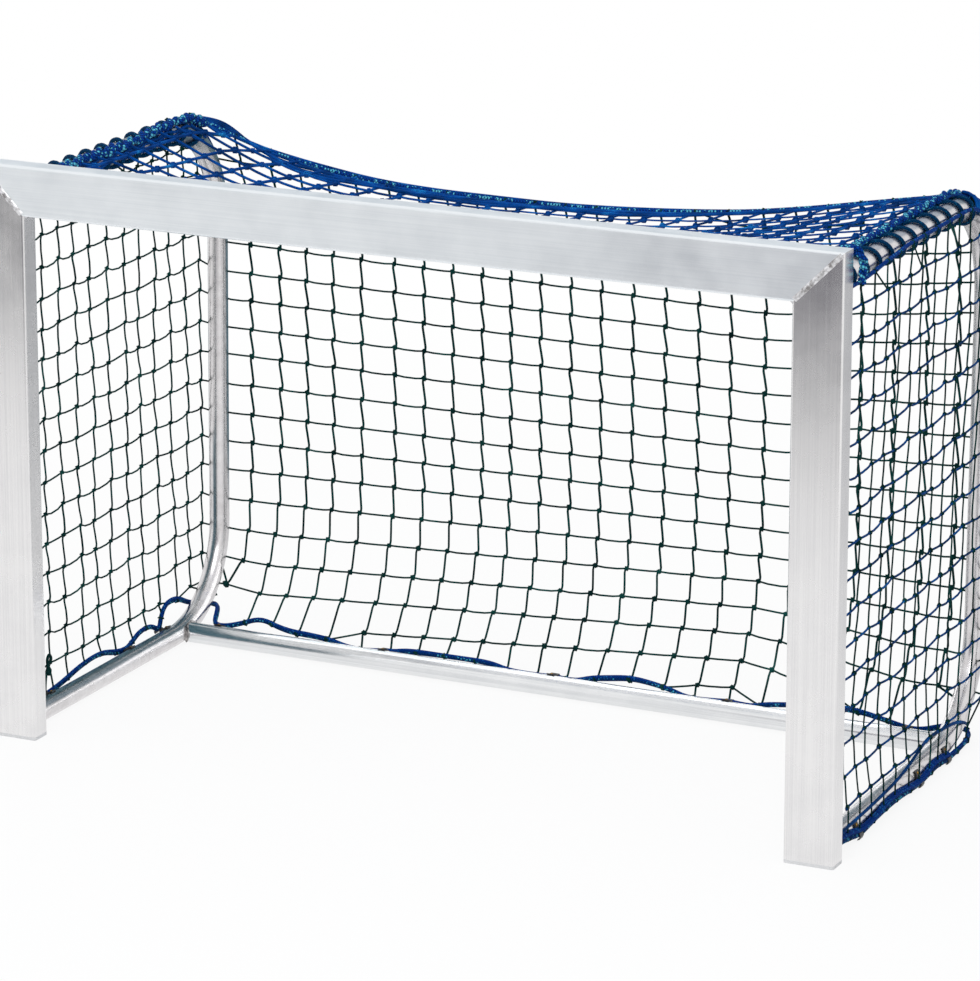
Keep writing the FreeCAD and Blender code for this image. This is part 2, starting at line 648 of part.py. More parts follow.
def make_back_rope():
    """Rope over the net's upper back edge, thrown over both bends."""
    wires = []
    over = 66.0
    count = 12
    inner = hoop_x - 14
    points = [back_edge(-inner + 2 * inner * i / count) for i in range(count + 1)]
    for side in (-1, 1):
        axis = on_top_tube(side, corner_s, 0, 0)
        across = Vector(side, 0, 0)
        up = (on_top_tube(side, corner_s, 10, 90) - axis).normalize()
        wires.append((axis, across, up))
    left, right = wires

    def wrap(frame, first, last):
        axis, across, up = frame

        def at(deg):
            a = math.radians(deg)
            return axis + across * (over_reach * math.cos(a)) + up * (over_reach * math.sin(a))
        return at(first), at((first + last) / 2.0), at(last)

    def leave(frame, target):
        """Angle at which the rope leaves the tube towards a point, tangent in the wrap's plane."""
        axis, across, up = frame
        v = target - axis
        x, y = v.dot(across), v.dot(up)
        return math.degrees(math.atan2(y, x)) - math.degrees(math.acos(over_reach / math.hypot(x, y)))

    la, ra = leave(left, points[1]), leave(right, points[-2])
    l0, lm, l1 = wrap(left, la - over, la)
    r0, rm, r1 = wrap(right, ra - over, ra)

    def off(frame, degrees):
        """Direction in which the rope leaves the tube."""
        axis, across, up = frame
        a = math.radians(degrees)
        return up * math.cos(a) - across * math.sin(a)

    lead = 30.0
    body = route([l1, l1 + off(left, la) * lead] + points[1:-1] + [r1 + off(right, ra) * lead, r1], "back_top_rope")
    arcs = []
    for a, m, b in ((l0, lm, l1), (r1, rm, r0)):
        arcs.append(Part.Arc(a, m, b).toShape())
    wire = Part.Wire([arcs[0]] + body.Edges + [arcs[1]])
    feature("back_top_rope", rope_on(wire, rope_r, "back rope"))
    return sorted((p.x, p.y, p.z) for p in body.discretize(Number=400))


# Net clips: a saddle or flat base, a loop round the rope and a slot that the rope was pushed through.
clip_hole = rope_r + gap
clip_reach = tube + gap + V["clip_wall"] + clip_hole


def prism_of(points, direction):
    return Part.Face(Part.makePolygon(points + [points[0]])).extrude(direction)


def eight_sided(centre, apothem, y, wide):
    """Eight-sided bar along local Y, its flats an apothem from its axis."""
    r = apothem / math.cos(math.pi / 8)
    corners = [math.radians(22.5 + 45 * i) for i in range(8)]
    return prism_of([Vector(centre + r * math.cos(a), y, r * math.sin(a)) for a in corners], Vector(0, wide, 0))


def clip_shape(flat):
    """Clip on a tube along local Y, its loop on local +X; a flat one stands on the plane x = 0."""
    wall, wide = V["clip_wall"], V["clip_width"]
    front = -wide / 2
    centre = wall + clip_hole if flat else clip_reach
    if flat:
        base = Part.makeBox(wall, wide, 4.5 * clip_hole, Vector(0, front, -(clip_hole + wall)))
    else:
        first, last, count = -22.0, 60.0, 4
        step = math.radians((last - first) / count)
        spots = [math.radians(first) + i * step for i in range(count + 1)]
        rings = []
        for r in ((tube + gap) / math.cos(step / 2), (tube + gap + wall) / math.cos(step / 2)):
            rings.append([Vector(r * math.cos(a), front, r * math.sin(a)) for a in spots])
        base = prism_of(rings[0] + rings[1][::-1], Vector(0, wide, 0))
    body = base.fuse(eight_sided(centre, clip_hole + wall, front, wide))
    hole = eight_sided(centre, clip_hole, front - 1, wide + 2)
    slot = Part.makeBox(V["clip_mouth"], wide + 2, 3 * clip_hole,
                        Vector(centre + clip_hole - V["clip_mouth"] - 0.8, front - 1, -3 * clip_hole))
    return body.cut(hole).cut(slot).removeSplitter()


last_clip = rear_depth - V["side_clip_last"]
side_clip_depths = (V["side_clip_first"], last_clip - V["side_clip_step"], last_clip)
high_clip = V["mouth_height"] - V["post_clip_drop"]
post_clip_heights = (V["post_clip_low"], high_clip - V["post_clip_step"], high_clip)
rear_clips = [i * (half_mouth - V["rear_clip_inset"]) / 2 for i in (-2, -1, 0, 1, 2)]
bar_clips = [i * (half_mouth - V["bar_clip_inset"]) for i in (-1, 0, 1)]


def clip_places():
    """Where the clips sit: name -> list of (flat, placement) in front-face coordinates."""
    z, level = Vector(0, 0, 1), Vector(0, 1, 0)
    depth = V["profile_depth"]
    right = Rotation(level, -V["side_clip_angle"])
    left = Rotation(z, 180).multiply(Rotation(level, -V["left_clip_angle"]))
    behind = Rotation(z, 90).multiply(Rotation(level, -V["rear_clip_angle"]))
    out = {
        "side_ground_clips": [(False, Placement(Vector(side * hoop_x, y, tube), turn))
                              for side, turn in ((-1, left), (1, right)) for y in side_clip_depths],
        "rear_ground_clips": [(False, Placement(Vector(c, rear_depth, tube), behind))
                              for c in rear_clips],
        "crossbar_clips": [(True, Placement(Vector(c, depth, front_rope_z), Rotation(z, 90)))
                           for c in bar_clips],
        "post_clips": []}
    for side in (-1, 1):
        turn = Rotation(level, Vector(0, 0, -side), Vector(-side, 0, 0), "XYZ")
        out["post_clips"] += [(True, Placement(Vector(side * side_rope_x, depth, h), turn))
                              for h in post_clip_heights]
    return out


def make_clips():
    shapes = {flat: clip_shape(flat) for flat in (False, True)}
    for name, places in clip_places().items():
        group = []
        for flat, p in places:
            s = shapes[flat].copy()
            s.Placement = p.multiply(s.Placement)
            group += s.Solids
        feature(name, Part.makeCompound(group))


side_rope_x = hoop_x + edge_reach * math.cos(math.radians(V["outer_rope_angle"]))
front_rope_y = V["profile_depth"] + V["clip_wall"] + clip_hole
net_front = front_rope_y + clip_hole + V["clip_wall"] + gap
inner_rope = on_top_tube(1, 0, edge_reach, V["inner_rope_angle"])
outer_rope = on_top_tube(1, 0, edge_reach, V["outer_rope_angle"])
front_rope_z = inner_rope.z


def make_front_ropes():
    """Ropes along the net's front edge, in the clips behind the frame."""
    reach = inner_rope.x - edge_r - gap
    top = Part.makeCylinder(edge_r, 2 * reach, Vector(-reach, front_rope_y, front_rope_z), Vector(1, 0, 0))
    feature("top_front_rope", top)
    head = outer_rope.z - edge_r - gap
    foot = V["front_rope_foot"]
    for side, name in ((-1, "left_front_rope"), (1, "right_front_rope")):
        feature(name, Part.makeCylinder(edge_r, head - foot, Vector(side * side_rope_x, front_rope_y, foot)))


def clip_axis(angle):
    """Offset of the rope from the tube's axis in a clip: outward and up."""
    a = math.radians(angle)
    return clip_reach * math.cos(a), clip_reach * math.sin(a)


def make_border_rope():
    """Rope along the ground: through the clips, round both bends and behind the rear tube."""
    rx, rz = clip_axis(V["side_clip_angle"])
    lx, lz = clip_axis(V["left_clip_angle"])
    by, bz = clip_axis(V["rear_clip_angle"])
    half = 15.0

    def side_run(side, x_off, z_off, rise):
        x, z = side * (hoop_x + x_off), tube + z_off
        a, b, c = side_clip_depths
        pts = [(x, V["profile_depth"] + 14, z + rise * 0.8), (x, a - half - 32, z + rise * 0.45)]
        for first, second in ((a, b), (b, c)):
            pts += [(x, first - half, z), (x, first + half, z)]
            length = second - first - 2 * half
            steps = 4 if length > 180 else 2
            for i in range(1, steps):
                k = i / steps
                pts.append((x, first + half + length * k, z + rise * (1 - (2 * k - 1) ** 4)))
        return pts + [(x, c - half, z), (x, c + half, z)]

    ring = tube + rope_r + gap + bend

    def behind(z, more=0.0):
        """Depth just behind the lower bend at a height."""
        return foot_centre[0] + math.sqrt((ring + more) ** 2 - (foot_centre[1] - z) ** 2)

    right = side_run(1, rx, rz, V["right_rope_rise"])
    left = side_run(-1, lx, lz, V["left_rope_rise"])
    z0 = tube + bz
    y0 = rear_depth + by
    outer = hoop_x + tube
    right += [(outer + rope_r + 1.3, behind(12) - 6, 12), (outer - 2, behind(18, 6), 18),
              (hoop_x - 4, behind(22, 6), 22), (hoop_x - 24, behind(25) - 12, 25),
              (hoop_x - 36, y0 + 14, z0 + 0.6)]
    left += [(-(outer + rope_r + 1.6), behind(36) - 22, 37), (-(outer - 2), behind(44, 5), 45),
             (-(hoop_x - 4), behind(46, 6), 47), (-(hoop_x - 24), behind(40) - 18, 40),
             (-(hoop_x - 38), y0 + 17, z0 + 3)]
    back = []
    clips = sorted(rear_clips, reverse=True)
    for first, second in zip(clips, clips[1:]):
        back += [(first + half, y0, z0), (first - half, y0, z0)]
        length = first - second - 2 * half
        for i in range(1, 4):
            k = i / 4.0
            back.append((first - half - length * k, y0 + 3.0 * (1 - (2 * k - 1) ** 2),
                         z0 + V["rear_rope_rise"] * (1 - (2 * k - 1) ** 4)))
    back += [(clips[-1] + half, y0, z0), (clips[-1] - half, y0, z0)]
    wire = route(right + back + left[::-1], "border_rope")
    return feature("border_rope", rope_on(wire, rope_r, "border rope"))


make_lacing()
make_tube_rope("left_inner_rope", -1, V["inner_rope_angle"])
make_tube_rope("right_inner_rope", 1, V["inner_rope_angle"])
make_tube_rope("left_outer_rope", -1, V["outer_rope_angle"])
make_tube_rope("right_outer_rope", 1, V["outer_rope_angle"])
back_axis = make_back_rope()
make_front_ropes()
make_clips()
make_border_rope()


def back_rope_at(x):
    """Axis of the made rope at x, and how much its slope lengthens a section across x."""
    spots = back_axis
    i = min(range(len(spots) - 1), key=lambda j: abs(spots[j][0] + spots[j + 1][0] - 2 * x))
    a, b = Vector(*spots[i]), Vector(*spots[i + 1])
    step = b - a
    k = max(0.0, min(1.0, (x - a.x) / step.x))
    return a + step * k, step.Length / abs(step.x) + 0.9 * abs(x / inner_half) ** 8


def grid_cells(lines_a, lines_b, box_at):
    """Boxes for the openings between strands at lines_a and lines_b."""
    cells = []
    for a0, a1 in zip(lines_a, lines_a[1:]):
        for b0, b1 in zip(lines_b, lines_b[1:]):
            cells.append(box_at(a0 + strand / 2, a1 - strand / 2, b0 + strand / 2, b1 - strand / 2))
    return Part.makeCompound(cells)


def even_lines(first, last, pitch):
    count = max(2, int(round(abs(last - first) / pitch)))
    return [first + (last - first) * i / count for i in range(count + 1)]


def open_meshes(sheet_shape, inner, cells):
    """The sheet with its openings cut; the openings keep a strand along every edge."""
    holes = [s for s in inner.common(cells).Solids if s.Volume > 400]
    print("   openings", len(holes))
    return solid_of(sheet_shape.cut(Part.makeCompound(holes)))


clear = 0.7
STRIPS = 12
clip_y, clip_z = clip_axis(V["rear_clip_angle"])
back_foot = (rear_depth + clip_y + 4, tube + clip_z + V["rear_rope_rise"] + rope_r + clear)
normal = (math.cos(lean), -math.sin(lean))
knee = (net_plane_top, knee_height)
hang_point = (net_plane_foot, hang)
chord = (back_foot[0] - hang_point[0], back_foot[1] - hang_point[1])
net_curve = -(chord[0] ** 2 + chord[1] ** 2) / (2 * (chord[0] * normal[0] + chord[1] * normal[1]))
curve_centre = (hang_point[0] - net_curve * normal[0], hang_point[1] - net_curve * normal[1])
foot_angle = math.degrees(math.atan2(back_foot[1] - curve_centre[1], back_foot[0] - curve_centre[0]))
print("back net: forward curve radius %.0f, ends at %.0f degrees" % (net_curve, foot_angle))


def back_sheet(inset, half):
    """The back net's sheet; inset draws its edges in, half is half its thickness."""
    wide = inner_half - inset
    band = side_rope_x + strand / 2 - inset
    start, end = -math.degrees(lean), foot_angle + math.degrees(inset / net_curve)

    def edge(h):
        k = (knee[0] + h * normal[0], knee[1] + h * normal[1])
        c = (hang_point[0] + h * normal[0], hang_point[1] + h * normal[1])
        m = polar(curve_centre, net_curve + h, (start + end) / 2)
        e = polar(curve_centre, net_curve + h, end)
        return [Vector(-wide, q[0], q[1]) for q in (k, c, m, e)]

    (k1, c1, m1, e1), (k2, c2, m2, e2) = edge(-half), edge(half)
    lower = extrude_section([k1, c1, e1, e2, c2, k2], [None, m1, None, m2, None, None], Vector(2 * wide, 0, 0))
    drop = inset * Vector(0, c1.y - k1.y, c1.z - k1.z).normalize() if inset else Vector()
    out = Vector(wide - band, 0, 0)
    strip = prism_of([k1 + out + drop, c1 + out - drop, c2 + out - drop, k2 + out + drop], Vector(2 * band, 0, 0))
    wires = []
    for i in range(STRIPS + 1):
        x = -wide + 2 * wide * i / STRIPS
        top, slant = back_rope_at(x)
        ty, tz = top.y, top.z - (rope_r + clear) * slant - inset
        n = Vector(0, tz - knee[1], knee[0] - ty).normalize() * half
        pts = [Vector(x, ty, tz) - n, Vector(x, ty, tz) + n,
               Vector(x, knee[0] + half * normal[0], knee[1] + half * normal[1]),
               Vector(x, knee[0] - half * normal[0], knee[1] - half * normal[1])]
        wires.append(Part.makePolygon(pts + [pts[0]]))
    upper = Part.makeLoft(wires, True, True)
    return lower.fuse(strip).fuse(upper).removeSplitter()


inner_half = hoop_x - tube - 1.0


def make_back_net():
    columns = even_lines(-side_rope_x, side_rope_x, V["mesh"])
    pitch = columns[1] - columns[0]
    rows = []
    z = knee[1]
    while z < corner_point.z + pitch:
        rows.append(z)
        z += pitch
    rows = rows[::-1]
    straight = (knee[1] - hang_point[1]) / math.cos(lean)
    arc = math.radians(-math.degrees(lean) - foot_angle) * net_curve
    count = int(round((straight + arc) / pitch))
    step = (straight + arc) / count
    for i in range(1, count + 1):
        s = i * step
        if s < straight:
            rows.append(knee[1] - s * math.cos(lean))
        else:
            rows.append(polar(curve_centre, net_curve, -math.degrees(lean + (s - straight) / net_curve))[1])
    rows[-1] -= strand
    rows = rows[::-1]

    first, last = min(back_foot[0], corner_point.y) - 70, rear_most + 60

    def box_at(x0, x1, z0, z1):
        return Part.makeBox(x1 - x0, last - first, z1 - z0, Vector(x0, first, z0))

    cells = grid_cells(columns, rows, box_at)
    return feature("back_net", open_meshes(back_sheet(0, strand / 2), back_sheet(strand, 12), cells))


def side_outline(side, x):
    """Face of a side net in its plane, drawn in the plane X = x."""
    ring = bend + tube
    front = net_front
    top = outer_rope.z - edge_r - gap
    top_ring = top - top_centre[1]
    leave = 90 - math.degrees(corner_turn) - 2.2
    tip = V["side_clip_angle"] if side > 0 else V["left_clip_angle"]
    foot = tube + clip_axis(tip)[1] + (V["right_rope_rise"] if side > 0 else V["left_rope_rise"]) + rope_r + clear
    down = -50 if side > 0 else -40
    low_deg = -math.degrees(lean)

    def v(q):
        return Vector(x, q[0], q[1])

    seq = [
        ((front, foot), (front, top), None),
        ((front, top), (top_centre[0], top), None),
        ((top_centre[0], top), polar(top_centre, top_ring, leave), polar(top_centre, top_ring, (90 + leave) / 2)),
        (polar(top_centre, top_ring, leave), polar(top_centre, ring, leave), None),
        (polar(top_centre, ring, leave), polar(top_centre, ring, low_deg),
         polar(top_centre, ring, (leave + low_deg) / 2)),
        (polar(top_centre, ring, low_deg), polar(foot_centre, ring, low_deg), None),
        (polar(foot_centre, ring, low_deg), polar(foot_centre, ring, down),
         polar(foot_centre, ring, (low_deg + down) / 2)),
        (polar(foot_centre, ring, down), (side_clip_depths[-1] + 20, foot), None),
        ((side_clip_depths[-1] + 20, foot), (front, foot), None)]
    edges = []
    for a, b, m in seq:
        edges.append(Part.LineSegment(v(a), v(b)).toShape() if m is None else Part.Arc(v(a), v(m), v(b)).toShape())
    return Part.Face(Part.Wire(edges)), front, top, foot


def make_side_net(name, side):
    x = side * side_rope_x - strand / 2
    face, front, top, foot = side_outline(side, x)
    sheet_solid = face.extrude(Vector(strand, 0, 0))
    inner = face.makeOffset2D(-strand)
    inner = inner.extrude(Vector(strand + 20, 0, 0))
    inner.translate(Vector(-10, 0, 0))
    back = upright_depth(400) + tube
    columns = even_lines(front, back, V["mesh"])
    columns.append(columns[-1] + 30)
    rows = even_lines(foot, top, V["mesh"])

    def box_at(y0, y1, z0, z1):
        return Part.makeBox(60, y1 - y0, z1 - z0, Vector(x - 30, y0, z0))

    return feature(name, open_meshes(sheet_solid, inner, grid_cells(columns, rows, box_at)))


def make_top_net():
    reach = inner_rope.x - edge_r - gap
    front = net_front
    level = front_rope_z

    def surface(inset, half):
        wires = []
        wide = reach - inset
        for i in range(STRIPS + 1):
            x = -wide + 2 * wide * i / STRIPS
            b, slant = back_rope_at(x)
            f = Vector(x, front + inset, level)
            run = (b - f).normalize()
            e = b - run * ((rope_r + clear) * slant + inset)
            share = (top_centre[0] - front) / (e.y - front)
            line = level + (e.z - level) * share
            k = abs(x / reach) ** 6
            g = Vector(x, top_centre[0], line + (level - line) * k)
            up = Vector(0, 0, half)
            pts = [f - up, g - up, e - up, e + up, g + up, f + up]
            wires.append(Part.makePolygon(pts + [pts[0]]))
        return Part.makeLoft(wires, True, True)

    columns = even_lines(-reach, reach, V["mesh"])
    rows = even_lines(front, low.y, V["mesh"])

    def box_at(x0, x1, y0, y1):
        return Part.makeBox(x1 - x0, y1 - y0, level - low.z + 160, Vector(x0, y0, low.z - 80))

    cells = grid_cells(columns, rows, box_at)
    return feature("top_net", open_meshes(surface(0, strand / 2), surface(strand, 12), cells))


make_back_net()
make_side_net("left_side_net", -1)
make_side_net("right_side_net", 1)
make_top_net()

doc.recompute()
failed = [o.Label for o in doc.Objects if any(word in " ".join(o.State) for word in ("Invalid", "Error"))]
if failed:
    raise RuntimeError("failed objects: " + ", ".join(failed))
for obj in subparts:
    if obj.Shape.isNull() or not obj.Shape.isValid() or not obj.Shape.Solids:
        raise RuntimeError("bad shape: " + obj.Label)

os.makedirs("parts", exist_ok=True)
for obj in subparts:
    obj.Shape.exportStep("parts/%s.step" % obj.Label)
    box = obj.Shape.BoundBox
    print("%-22s %2d solids %9.1f cm3  x %7.1f %7.1f  y %7.1f %7.1f  z %6.1f %6.1f" % (
        obj.Label, len(obj.Shape.Solids), obj.Shape.Volume / 1000,
        box.XMin, box.XMax, box.YMin, box.YMax, box.ZMin, box.ZMax))
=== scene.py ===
"""Small training goal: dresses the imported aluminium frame, ties its ropes and knots its net.

Sizes are millimetres measured from the frame's front face, the middle of the mouth and the floor;
place() turns them into the model's metres.
"""
import logging
import math
import random
from dataclasses import dataclass, field
from enum import Enum
from functools import cached_property
from typing import Callable, ClassVar, Iterable, Sequence

import bmesh
import bpy
from mathutils import Matrix, Vector


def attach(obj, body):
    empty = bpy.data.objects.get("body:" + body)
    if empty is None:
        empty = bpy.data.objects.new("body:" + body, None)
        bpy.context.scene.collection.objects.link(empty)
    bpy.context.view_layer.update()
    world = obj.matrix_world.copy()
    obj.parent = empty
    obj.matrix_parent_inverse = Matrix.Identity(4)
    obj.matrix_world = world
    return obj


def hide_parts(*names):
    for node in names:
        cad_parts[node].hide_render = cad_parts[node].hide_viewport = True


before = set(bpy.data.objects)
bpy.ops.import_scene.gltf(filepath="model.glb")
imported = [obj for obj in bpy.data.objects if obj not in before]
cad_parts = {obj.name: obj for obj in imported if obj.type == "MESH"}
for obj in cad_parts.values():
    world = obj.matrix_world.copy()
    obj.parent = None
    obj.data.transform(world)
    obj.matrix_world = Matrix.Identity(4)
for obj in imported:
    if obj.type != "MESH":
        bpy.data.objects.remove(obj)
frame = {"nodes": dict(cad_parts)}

log = logging.getLogger("goal")

FRONT_FACE = 338.74
CLIP_GAP = 0.3
CLIP_BASE = 2.0

Pair = tuple[float, float]
Point = tuple[float, float, float]
Mesh = bpy.types.Mesh
Node = bpy.types.Node
Tree = bpy.types.NodeTree
Socket = bpy.types.NodeSocket


def place(x: float, y: float, z: float) -> Vector:
    """Point of the model in metres from millimetres behind the front face."""
    return Vector((x, y - FRONT_FACE, z)) * 0.001


def srgb(code: str) -> tuple[float, ...]:
    """Linear red, green and blue, and 1 for alpha, of a colour written as "#RRGGBB"."""
    parts = [int(code[i:i + 2], 16) / 255.0 for i in (1, 3, 5)]
    return (*(c / 12.92 if c <= 0.04045 else ((c + 0.055) / 1.055) ** 2.4 for c in parts), 1.0)


def smooth(value: float, low: float, high: float) -> float:
    """Share from 0 to 1 of the way from low to high, with soft ends."""
    t = max(0.0, min(1.0, (value - low) / (high - low)))
    return t * t * (3 - 2 * t)


def between(value: float, spots: Sequence[Pair]) -> float:
    """Value of a line through (place, height) spots, straight beyond its ends."""
    for (a, va), (b, vb) in zip(spots, spots[1:]):
        if value <= b:
            break
    return va + (vb - va) * (value - a) / (b - a)


def empty_tree(owner: bpy.types.Material | bpy.types.World) -> Tree:
    """Node tree of a material or of the world, cleared for its nodes."""
    owner.use_nodes = True
    owner.node_tree.nodes.clear()
    return owner.node_tree


def add_node(tree: Tree, kind: str, values: dict | None = None, stops: Sequence[tuple[float, str]] = ()) -> Node:
    """Adds a shader node with its settings and links.

    Args:
        tree: The node tree of a material or of the world.
        kind: The node's type name without "ShaderNode".
        values: Properties by their lower-case name; and, by an input's name or number, its value, the output
            that feeds it, or the node whose first output does.
        stops: Place and sRGB hex value of each stop of a colour ramp.

    Returns:
        The new node.
    """
    node = tree.nodes.new("ShaderNode" + kind)
    for key, value in (values or {}).items():
        if isinstance(key, str) and hasattr(node, key):
            setattr(node, key, value)
        elif isinstance(value, (Node, Socket)):
            tree.links.new(value.outputs[0] if isinstance(value, Node) else value, node.inputs[key])
        else:
            node.inputs[key].default_value = value
    for number, (spot, code) in enumerate(stops):
        stop = node.color_ramp.elements[number] if number < 2 else node.color_ramp.elements.new(spot)
        stop.position, stop.color = spot, srgb(code)
    return node


def seen_share(tree: Tree) -> Node:
    """1 for rays from the camera, off a mirroring surface or through a clear one, and 0 for all others."""
    rays = add_node(tree, "LightPath").outputs
    mirrored = add_node(tree, "Math", {"operation": "MAXIMUM", 0: rays["Is Camera Ray"], 1: rays["Is Glossy Ray"]})
    return add_node(tree, "Math", {"operation": "MAXIMUM", 0: mirrored, 1: rays["Is Transmission Ray"]})


class Grain(Enum):
    """Direction in which a profile or tube was drawn, and the scale of its die lines along X, Y, Z."""

    UP = (420.0, 420.0, 3.0)
    ACROSS = (3.0, 420.0, 420.0)
    BENT = (60.0, 60.0, 60.0)


@dataclass(frozen=True)
class Finish:
    """A finish: its material is made once, on first use."""

    name: str
    coordinates: ClassVar[str] = "Object"

    def shader(self, tree: Tree, where: Socket) -> Node:
        """Adds the finish's own nodes.

        Args:
            tree: The material's node tree.
            where: The finish's texture coordinates.

        Returns:
            The surface shader.
        """
        raise NotImplementedError

    def material(self) -> bpy.types.Material:
        """The finish's material."""
        made = bpy.data.materials.get(self.name)
        if made is None:
            made = bpy.data.materials.new(self.name)
            tree = empty_tree(made)
            where = add_node(tree, "TexCoord").outputs[self.coordinates]
            add_node(tree, "OutputMaterial", {"Surface": self.shader(tree, where)})
        return made


@dataclass(frozen=True)
class DrawnAluminium(Finish):
    """Mill-finish aluminium, pressed or drawn through a die: pale, softly mirroring, with fine lines."""

    grain: Grain = Grain.UP
    colour: str = "#ECEDEE"
    shade: str = "#DDDFE1"
    roughness: float = 0.24
    stretch: float = 0.6

    def shader(self, tree: Tree, where: Socket) -> Node:
        """Die lines along the grain, faint cloudy handling marks, and a reflection drawn out across it."""
        # Die lines are about 0.2 mm apart; they are drawn about 2.4 mm apart to show in the render.
        lines = add_node(tree, "TexNoise", {
            "Vector": add_node(tree, "Mapping", {"Vector": where, "Scale": self.grain.value}),
            "Scale": 1.0, "Detail": 4.0, "Roughness": 0.55})
        # Handling marks and stains 30 to 80 mm across.
        cloud = add_node(tree, "TexNoise", {"Vector": where, "Scale": 16.0, "Detail": 5.0, "Roughness": 0.6})
        mixed = add_node(tree, "Mix", {"data_type": "FLOAT", 0: 0.45, 2: lines, 3: cloud})
        values = {
            "Metallic": 1.0,
            "Base Color": add_node(tree, "ValToRGB", {"Fac": mixed}, ((0.36, self.shade), (0.62, self.colour))),
            "Roughness": add_node(tree, "MapRange", {
                "Value": cloud, "From Min": 0.3, "From Max": 0.7,
                "To Min": self.roughness - 0.02, "To Max": self.roughness + 0.06}),
            "Normal": add_node(tree, "Bump", {"Height": lines, "Strength": 0.03, "Distance": 0.0001})}
        if self.grain is not Grain.BENT:
            values["Anisotropic"] = self.stretch
            values["Tangent"] = add_node(tree, "Tangent", {
                "direction_type": "RADIAL", "axis": "Z" if self.grain is Grain.UP else "X"})
        return add_node(tree, "BsdfPrincipled", values)


@dataclass(frozen=True)
class WeldBead(Finish):
    """Aluminium weld bead: duller than the profile, with the ripples of the puddle and soot at its toes."""

    colour: str = "#E6E6E8"
    soot: str = "#8F8C8C"

    def shader(self, tree: Tree, where: Socket) -> Node:
        """Ripples 2 mm apart broken up by noise."""
        ripple = add_node(tree, "TexNoise", {"Vector": where, "Scale": 450.0, "Detail": 2.0})
        patch = add_node(tree, "TexNoise", {"Vector": where, "Scale": 140.0, "Detail": 3.0})
        return add_node(tree, "BsdfPrincipled", {
            "Metallic": 0.9, "Roughness": 0.42,
            "Base Color": add_node(tree, "ValToRGB", {"Fac": patch}, ((0.34, self.soot), (0.58, self.colour))),
            "Normal": add_node(tree, "Bump", {"Height": ripple, "Strength": 0.8, "Distance": 0.0008})})


@dataclass(frozen=True)
class MouldedPlastic(Finish):
    """Injection-moulded polyamide: even colour, satin, with the faint grain of the mould."""

    colour: str = "#1B1C1E"
    roughness: float = 0.42
    dust: str = "#8C8E90"

    def shader(self, tree: Tree, where: Socket) -> Node:
        """Mould grain 0.8 mm across and a slight dusting in the colour."""
        grain = add_node(tree, "TexNoise", {"Vector": where, "Scale": 1200.0, "Detail": 2.0})
        cloud = add_node(tree, "TexNoise", {"Vector": where, "Scale": 90.0, "Detail": 3.0})
        dusty = add_node(tree, "MapRange", {"Value": cloud, "From Min": 0.4, "From Max": 0.8,
                                            "To Min": 0.0, "To Max": 0.12})
        tone = add_node(tree, "Mix", {"data_type": "RGBA", 0: dusty, 6: srgb(self.colour), 7: srgb(self.dust)})
        return add_node(tree, "BsdfPrincipled", {
            "Roughness": self.roughness, "Base Color": tone.outputs[2],
            "Normal": add_node(tree, "Bump", {"Height": grain, "Strength": 0.15, "Distance": 0.0003})})


@dataclass(frozen=True)
class TurnedBrass(Finish):
    """Brass rivet head, dulled by weather."""

    spots: str = "#7D5A28"
    metal: str = "#C79A4B"

    def shader(self, tree: Tree, where: Socket) -> Node:
        """Brown spots 2 mm across on yellow metal."""
        spots = add_node(tree, "TexNoise", {"Vector": where, "Scale": 500.0, "Detail": 2.0})
        tone = add_node(tree, "ValToRGB", {"Fac": spots}, ((0.35, self.spots), (0.6, self.metal)))
        return add_node(tree, "BsdfPrincipled", {"Metallic": 1.0, "Roughness": 0.35, "Base Color": tone})


